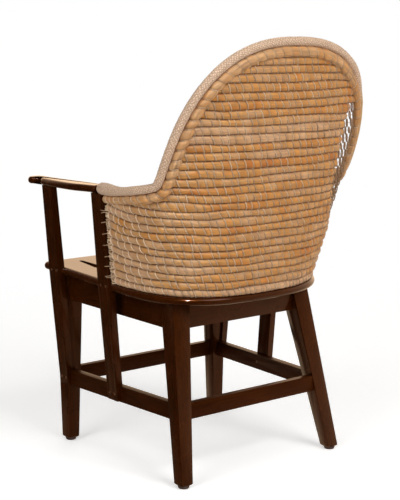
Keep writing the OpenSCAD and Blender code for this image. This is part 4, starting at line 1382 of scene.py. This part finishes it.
    def strand(self, sink: MeshSink, line: np.ndarray, rng: np.random.Generator) -> None:
        """Add one short strand of twine through a few places.

        Args:
            sink: What collects the strands.
            line: The places in millimetres.
            rng: The seeded generator.
        """
        t = np.linspace(0, len(line) - 1, 9)
        centre = np.stack([np.interp(t, np.arange(len(line)), line[:, i]) for i in range(3)], -1)
        centre[1:-1] = (centre[:-2] + 2 * centre[1:-1] + centre[2:]) / 4
        way = headings(centre)
        side = unit(np.cross(way, np.array([0.1, 0.2, 1.0])))
        angle = np.linspace(0, 2 * np.pi, 5, endpoint=False)
        radius = np.linspace(*self.tuft_radius, len(t))[:, None]
        rings = sections(centre, side, np.cross(way, side), radius * np.cos(angle),
                         radius * np.sin(angle))
        sink.tube(rings * MM, t * 3 * MM, self.tuft_girth * MM,
                  np.full(len(t), rng.uniform(0, 1)))

    def front_edges(self) -> list[Object]:
        """Bind the rows' front ends with rough twine and leave short tufts of it.

        Returns:
            The windings, their cores and the tufts.
        """
        rng = np.random.default_rng(self.seed + 2)
        core, windings, tufts = MeshSink(), StitchSet(), MeshSink()
        for sign in (-1, 1):
            self.front_edge(sign, rng, core, windings, tufts)
        core_piece = core.to_object("edge_cores", ROPE_STRAW)
        bound = windings.to_object("edge_windings", BINDING, {
            "Thread radius": self.winding_thread * MM, "Swing": 0.2, "Seed": 8})
        frayed = tufts.to_object("edge_tufts", BINDING)
        return [settle(core_piece, ROPE_STRAW, []), settle(bound, BINDING, []),
                settle(frayed, BINDING, [])]

    def build(self) -> list[Object]:
        """Make the whole border."""
        return [*self.coil(), self.rim(), *self.front_edges()]


@dataclass
class Board:
    """A board with rounded edges, drawn from its outline as the CAD model draws it."""

    thickness: float
    rounding: float
    steps: int = 7

    def shell(self, outline: np.ndarray) -> tuple[np.ndarray, list[tuple[int, ...]]]:
        """Round an outline over into a board lying on Z = 0.

        Args:
            outline: Counter-clockwise corners in plan, in millimetres.

        Returns:
            Points and faces.
        """
        n = len(outline)
        before = unit(outline - np.roll(outline, 1, axis=0))
        after = unit(np.roll(outline, -1, axis=0) - outline)
        normal = unit(np.stack([before[:, 1] + after[:, 1], -before[:, 0] - after[:, 0]], -1))
        angle = np.linspace(0, np.pi / 2, self.steps + 1)
        r, t = self.rounding, self.thickness
        low = [(r * (1 - math.sin(a)), r * (1 - math.cos(a))) for a in angle]
        high = [(d, t - z) for d, z in reversed(low)]
        layers = low + (high if 2 * r < t else high[1:])
        points = np.concatenate([np.column_stack([outline - normal * d, np.full(n, z)])
                                 for d, z in layers])
        faces = [(k * n + i, k * n + (i + 1) % n, (k + 1) * n + (i + 1) % n, (k + 1) * n + i)
                 for k in range(len(layers) - 1) for i in range(n)]
        top = (len(layers) - 1) * n
        return points, faces + [tuple(range(n - 1, -1, -1)), tuple(range(top, top + n))]


@dataclass(frozen=True)
class SeatPlan:
    """The seat board's outline: a squared round behind, straight sides, eased front corners."""

    rear_half: float = 272.0
    round_from: float = 40.0
    round_depth: float = 252.0
    roundness: float = 2.7
    front_half: float = 283.0
    front_y: float = -262.0
    corner: float = 12.0

    def outline(self) -> np.ndarray:
        """Draw the outline.

        Returns:
            Counter-clockwise corners in millimetres.
        """
        a = np.radians(np.arange(0, 91, 3.0))
        sine, cosine = np.sin(a) ** (2 / self.roundness), np.cos(a).clip(0) ** (2 / self.roundness)
        rear = np.column_stack([self.rear_half * sine, self.round_from + self.round_depth * cosine])
        b = np.radians(np.arange(0, 91, 11.25))
        front = np.column_stack([self.front_half - self.corner * (1 - np.cos(b)),
                                 self.front_y + self.corner * (1 - np.sin(b))])
        half = np.concatenate([rear, [[self.rear_half, 0.0]], front])
        return np.concatenate([half[::-1], half[1:] * [-1, 1]])


@dataclass
class TimberFrame:
    """The dark frame: seat board, arms, legs, rails and posts.

    The arm's nose is given as places from the front post's axis, along the outer edge, round the
    nose and back along the inner edge.
    """

    sheet: StrawSheet
    bevel: float = 1.6
    seat_thickness: float = 20.0
    arm_thickness: float = 18.0
    arm_height: float = 675.0
    arm_rounding: float = 8.0
    arm_rear: tuple[float, float] = (276.89, 0.1456)
    front_post: tuple[float, float] = (309.222, -199.0)
    rear_post_x: float = 296.222
    nose: tuple[tuple[float, float], ...] = (
        (4.5, 118), (5.5, 50), (2.5, 5), (-1, -24), (-13, -43), (-10, -53), (1, -57), (7, -68),
        (1, -80), (-14, -85), (-29, -81), (-37, -66), (-38, -25), (-42, 40))
    groove_width: float = 12.0
    groove_rear_width: float = 24.0
    groove_length: float = 76.0
    groove_start: tuple[float, float] = (196.0, -213.0)
    groove_depth: float = 5.0
    grains: dict[str, Grain] = field(default_factory=lambda: {
        "front_leg": Grain.UPRIGHT, "rear_leg": Grain.UPRIGHT, "front_post": Grain.UPRIGHT,
        "rear_post": Grain.UPRIGHT, "front_apron": Grain.ACROSS, "rear_apron": Grain.ACROSS,
        "front_stretcher": Grain.ACROSS, "rear_stretcher": Grain.ACROSS, "side_apron": Grain.ALONG,
        "side_stretcher": Grain.ALONG})

    def soften(self, name: str, grain: Grain) -> Object:
        """Copy a CAD node and break its sharp edges, as a maker's sandpaper does.

        Args:
            name: The CAD node's name.
            grain: Where its grain runs.

        Returns:
            The finished copy.
        """
        shape = bmesh.new()
        shape.from_mesh(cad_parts[name].data)
        bmesh.ops.remove_doubles(shape, verts=shape.verts, dist=2e-6)
        bmesh.ops.dissolve_limit(shape, angle_limit=0.01, verts=shape.verts, edges=shape.edges)
        mesh = bpy.data.meshes.new(f"{name}_timber")
        shape.to_mesh(mesh)
        shape.free()
        mesh.shade_smooth()
        mesh.materials.clear()
        finish = timber(grain, "stretcher" in name)
        mesh.materials.append(finish.material())
        piece = new_object(f"{name}_timber", mesh)
        edge = piece.modifiers.new("edge", "BEVEL")
        edge.width = self.bevel * MM
        edge.segments = 3
        edge.limit_method = "ANGLE"
        edge.angle_limit = math.radians(35)
        edge.harden_normals = True
        return settle(bake(piece), finish, [name])

    def finish_board(self, name: str, points: np.ndarray, faces: list[tuple[int, ...]],
                     grain: Grain, node: str, cutters: list[Object]) -> Object:
        """Make a board's object, with its hollows cut and its flat faces shaded flat.

        Args:
            name: The piece's name.
            points: Its points in millimetres.
            faces: Its faces.
            grain: Where its grain runs.
            node: The CAD node that it replaces.
            cutters: Objects that are taken out of it.

        Returns:
            The board.
        """
        mesh = bpy.data.meshes.new(name)
        mesh.from_pydata((points * MM).tolist(), [], faces)
        mesh.shade_smooth()
        mesh.materials.append(timber(grain).material())
        piece = new_object(name, mesh)
        for cutter in cutters:
            cut = piece.modifiers.new("cut", "BOOLEAN")
            cut.object = cutter
            cut.solver = "EXACT"
        shade = piece.modifiers.new("shade", "WEIGHTED_NORMAL")
        shade.weight = 100
        shade.keep_sharp = True
        bake(piece)
        for cutter in cutters:
            bpy.data.objects.remove(cutter)
        return settle(piece, timber(grain), [node])

    def seat(self) -> Object:
        """Make the seat board with its bullnose edge and the two stopped grooves.

        Returns:
            The seat.
        """
        board = Board(self.seat_thickness, self.seat_thickness / 2)
        points, faces = board.shell(SeatPlan().outline())
        points[:, 2] -= self.seat_thickness
        return self.finish_board("seat_timber", self.on_seat(points), faces, Grain.ACROSS,
                                 "seat_board", [self.groove(sign) for sign in (-1, 1)])

    def on_seat(self, points: np.ndarray) -> np.ndarray:
        """Tilt points with the seat and lift them to its height.

        Args:
            points: Points in millimetres, with the seat's top at 0.

        Returns:
            The points in the chair's frame.
        """
        tilt = math.atan(self.sheet.slope)
        cos, sin = math.cos(tilt), math.sin(tilt)
        x, y, z = points.T
        return np.column_stack([x, y * cos + z * sin - self.sheet.middle_y,
                                -y * sin + z * cos + self.sheet.seat_height])

    def groove(self, sign: int) -> Object:
        """Make the round-ended cutter of one groove.

        Args:
            sign: 1 for the sitter's left, -1 for the right.

        Returns:
            The cutter.
        """
        r0, r1 = self.groove_width / 2, self.groove_rear_width / 2
        lean = math.asin((r1 - r0) / self.groove_length)
        ends = [np.column_stack([r * np.cos(a), y + r * np.sin(a)])
                for r, y, a in ((r0, 0.0, np.linspace(np.pi - lean, 2 * np.pi + lean, 17)),
                                (r1, self.groove_length, np.linspace(-lean, np.pi + lean, 17)))]
        x, y = self.groove_start
        ring = np.concatenate(ends) + [sign * x, y]
        n = len(ring)
        points = np.concatenate([np.column_stack([ring, np.full(n, z)])
                                 for z in (-self.groove_depth, 3.0)])
        faces = [(i, (i + 1) % n, n + (i + 1) % n, n + i) for i in range(n)]
        mesh = bpy.data.meshes.new("groove")
        mesh.from_pydata((self.on_seat(points) * MM).tolist(), [],
                         faces + [tuple(range(n - 1, -1, -1)), tuple(range(n, 2 * n))])
        return new_object("groove", mesh)

    def arm(self, sign: int) -> Object:
        """Make an arm with its hollow, its round nose and its eased edges.

        Args:
            sign: 1 for the sitter's left, -1 for the right.

        Returns:
            The arm.
        """
        x, y = self.arm_rear
        knots = np.array([(x + 18, y), (self.rear_post_x + 8, -40),
                          *(np.array(self.nose) + self.front_post), (x - 19, -60), (x - 18, y)])
        path = smooth_path(knots, 8)
        outline = (path[::-1] if sign > 0 else path) * [sign, 1]
        points, faces = Board(self.arm_thickness, self.arm_rounding, 6).shell(outline)
        points += [0, -self.sheet.middle_y, self.arm_height]
        side = "left" if sign > 0 else "right"
        return self.finish_board(f"arm_{side}_timber", points, faces, Grain.ALONG, f"arm_{side}",
                                 [])

    def build(self) -> list[Object]:
        """Make the frame.

        Returns:
            Every timber piece.
        """
        pieces = [self.seat(), *(self.arm(sign) for sign in (-1, 1))]
        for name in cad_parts:
            for stem, grain in self.grains.items():
                if name.startswith(stem):
                    pieces.append(self.soften(name, grain))
        return pieces


def smooth_path(knots: np.ndarray, steps: int) -> np.ndarray:
    """Draw a smooth line through knots.

    Args:
        knots: The places that the line passes.
        steps: Points between two knots.

    Returns:
        The line's points.
    """
    ends = np.concatenate([knots[:1], knots, knots[-1:]])
    t = (np.arange(steps) / steps)[:, None]
    parts = [0.5 * (2 * b + (c - a) * t + (2 * a - 5 * b + 4 * c - d) * t ** 2
                    + (3 * b - a - 3 * c + d) * t ** 3)
             for a, b, c, d in zip(ends, ends[1:], ends[2:], ends[3:])]
    return np.concatenate(parts + [knots[-1:]])


@dataclass
class SmallParts:
    """The CAD nodes whose shape is right: blocks, pegs, screws, pads and the hoop."""

    finishes: dict[str, Finish] = field(default_factory=lambda: {
        "rim_hoop": CANE, "corner_block": BLOCK_WOOD, "post_pegs": PEG_WOOD, "seat_screws": ZINC,
        "block_screws": ZINC, "foot_pads": RUBBER})

    def build(self) -> None:
        """Give each small part its material."""
        for stem, finish in self.finishes.items():
            material = finish.material()
            for name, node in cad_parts.items():
                if name.startswith(stem):
                    node.data.materials.clear()
                    node.data.materials.append(material)
                    LOG.info("%s: %s", name, material.name)


def aim(holder: Object, place: tuple[float, float, float], way: Vector) -> None:
    """Put a lamp or the camera at a place and turn it.

    Args:
        holder: The object.
        place: Where it goes, in metres.
        way: Where it looks.
    """
    holder.location = place
    holder.rotation_euler = way.to_track_quat("-Z", "Y").to_euler()


@dataclass(frozen=True)
class Lamp:
    """A square soft box that looks at the chair. Its place and size are in metres."""

    name: str
    place: tuple[float, float, float]
    size: float
    watts: float
    lights: bool = True
    mirrored: bool = True

    def hang(self) -> None:
        """Hang the lamp, unseen by the camera."""
        lamp = bpy.data.lights.new(self.name, "AREA")
        lamp.size = self.size
        lamp.energy = self.watts
        holder = new_object(self.name, lamp)
        holder.visible_camera = False
        holder.visible_diffuse = self.lights
        holder.visible_glossy = self.mirrored
        aim(holder, self.place, Vector((0, 0, 0.5)) - Vector(self.place))


@dataclass
class Studio:
    """A plain pale studio: floor, world, soft lamps and the photograph's camera."""

    eye: tuple[float, float, float] = (2.0037, 2.5081, 1.0585)
    yaw: float = -2.2409
    pitch: float = -0.1683
    lens: float = 116.17
    floor_half: float = 14.0
    floor_colour: str = "#F2F1EF"
    floor_lift: float = 0.42
    surround: float = 0.28
    backdrop: str = "#D0B08F"
    lamps: tuple[Lamp, ...] = (
        Lamp("key", (-0.2, 3.2, 3.0), 2.0, 90),
        Lamp("fill", (3.2, 0.6, 2.6), 2.0, 49, mirrored=False),
        Lamp("glint", (2.0, 2.6, 2.6), 0.35, 300, lights=False),
        Lamp("back", (-2.6, -3.0, 1.6), 2.6, 30, mirrored=False))

    def shown(self, tree: NodeTree, rays: Node) -> NodeSocket:
        """Tell the rays that the camera sees from those that light the chair.

        Args:
            tree: The floor's or the world's tree.
            rays: Its Light Path node.

        Returns:
            1 for a ray that the camera sees, straight or through glass.
        """
        return add_node(tree, "ShaderNodeMath", MAXIMUM,
                        {0: rays.outputs["Is Camera Ray"],
                         1: rays.outputs["Is Transmission Ray"]}).outputs[0]

    def warmed(self, tree: NodeTree, rays: Node) -> NodeSocket:
        """Give white, and for mirrored rays the backdrop's warm colour.

        Args:
            tree: The floor's or the world's tree.
            rays: Its Light Path node.

        Returns:
            The colour.
        """
        return add_node(tree, "ShaderNodeMix", COLOUR,
                        {"Factor": rays.outputs["Is Glossy Ray"], 6: WHITE,
                         7: linear(self.backdrop)}).outputs[2]

    def floor(self) -> None:
        """Lay the pale floor, which takes the chair's shadow and turns plain white further out."""
        mesh = bpy.data.meshes.new("floor")
        s = self.floor_half
        mesh.from_pydata([(-s, -s, 0), (s, -s, 0), (s, s, 0), (-s, s, 0)], [], [(0, 1, 2, 3)])
        material = bpy.data.materials.new("pale_floor")
        material.use_nodes = True
        tree = material.node_tree
        shader = tree.nodes["Principled BSDF"]
        for socket, value in (("Base Color", linear(self.floor_colour)), ("Roughness", 0.9),
                              ("Specular IOR Level", 0.1), ("Emission Color", WHITE)):
            shader.inputs[socket].default_value = value
        place = add_node(tree, "ShaderNodeTexCoord").outputs["Object"]
        away = add_node(tree, "ShaderNodeVectorMath", {"operation": "LENGTH"}, {0: place})
        rays = add_node(tree, "ShaderNodeLightPath")
        white = add_node(tree, "ShaderNodeMapRange", SMOOTHLY,
                         {"Value": away.outputs["Value"], "From Min": 0.9, "From Max": 2.6})
        shown = self.shown(tree, rays)
        far = add_node(tree, "ShaderNodeMath", MULTIPLY, {0: white.outputs["Result"], 1: shown})
        part = add_node(tree, "ShaderNodeMath", MAXIMUM,
                        {0: far.outputs[0], 1: rays.outputs["Is Glossy Ray"]})
        lift = add_node(tree, "ShaderNodeMath", MULTIPLY, {0: shown, 1: self.floor_lift})
        tree.links.new(lift.outputs[0], shader.inputs["Emission Strength"])
        # Painted reflection: to mirrored rays the floor is a warm glow instead of a lit floor,
        # strong towards -X and almost dark towards +X.
        side = add_node(tree, "ShaderNodeSeparateXYZ", None, {"Vector": place})
        dim = add_node(tree, "ShaderNodeMapRange", SMOOTHLY,
                       {"Value": side.outputs["X"], "From Min": -0.6, "From Max": 0.8,
                        "To Min": 1.5, "To Max": 0.02})
        seen = add_node(tree, "ShaderNodeMix", {"data_type": "FLOAT"},
                        {0: rays.outputs["Is Glossy Ray"], 2: 1.0, 3: dim.outputs["Result"]})
        plain = add_node(tree, "ShaderNodeEmission", None,
                         {"Strength": seen.outputs[0], "Color": self.warmed(tree, rays)})
        mixed = add_node(tree, "ShaderNodeMixShader", None,
                         {0: part.outputs[0], 1: shader.outputs[0], 2: plain.outputs[0]})
        tree.links.new(mixed.outputs[0], tree.nodes["Material Output"].inputs["Surface"])
        mesh.materials.append(material)
        new_object("floor", mesh)

    def world(self) -> None:
        """Set a white surround, a backdrop and a dark room to mirror, and a plain light."""
        world = bpy.data.worlds.new("studio")
        bpy.context.scene.world = world
        world.use_nodes = True
        tree = world.node_tree
        rays = add_node(tree, "ShaderNodeLightPath")
        way = add_node(tree, "ShaderNodeTexCoord").outputs["Generated"]
        backdrop = add_node(tree, "ShaderNodeVectorMath", {"operation": "DOT_PRODUCT"},
                            {0: way, 1: (-0.9, -0.44, 0.0)})
        glossy = add_node(tree, "ShaderNodeMapRange", SMOOTHLY,
                          {"Value": backdrop.outputs["Value"], "From Min": -0.3, "From Max": 0.7,
                           "To Min": 0.08, "To Max": 2.5})
        soft = add_node(tree, "ShaderNodeMix", {"data_type": "FLOAT"},
                        {0: rays.outputs["Is Glossy Ray"], 2: self.surround,
                         3: glossy.outputs["Result"]})
        strength = add_node(tree, "ShaderNodeMix", {"data_type": "FLOAT"},
                            {0: self.shown(tree, rays), 2: soft.outputs[0], 3: 1.0})
        background = tree.nodes["Background"]
        tree.links.new(strength.outputs[0], background.inputs["Strength"])
        tree.links.new(self.warmed(tree, rays), background.inputs["Color"])

    def camera(self) -> None:
        """Set the camera at the photograph's place and angle."""
        camera = bpy.data.cameras.new("camera")
        camera.lens = self.lens
        camera.sensor_width = 36.0
        camera.sensor_fit = "HORIZONTAL"
        holder = new_object("camera", camera)
        flat = math.cos(self.pitch)
        aim(holder, self.eye, Vector((math.cos(self.yaw) * flat, math.sin(self.yaw) * flat,
                                      math.sin(self.pitch))))
        bpy.context.scene.camera = holder

    def build(self) -> None:
        """Set up the studio."""
        bpy.context.scene.view_settings.view_transform = "Standard"
        self.camera()
        self.floor()
        self.world()
        for lamp in self.lamps:
            lamp.hang()


def main() -> None:
    """Build the studio and the chair."""
    logging.basicConfig(level=logging.INFO, format="%(name)s %(message)s")
    Studio().build()
    sheet = StrawSheet()
    SewnBack(sheet).build()
    Border(sheet).build()
    TimberFrame(sheet).build()
    SmallParts().build()


if __name__ == "__main__":
    main()
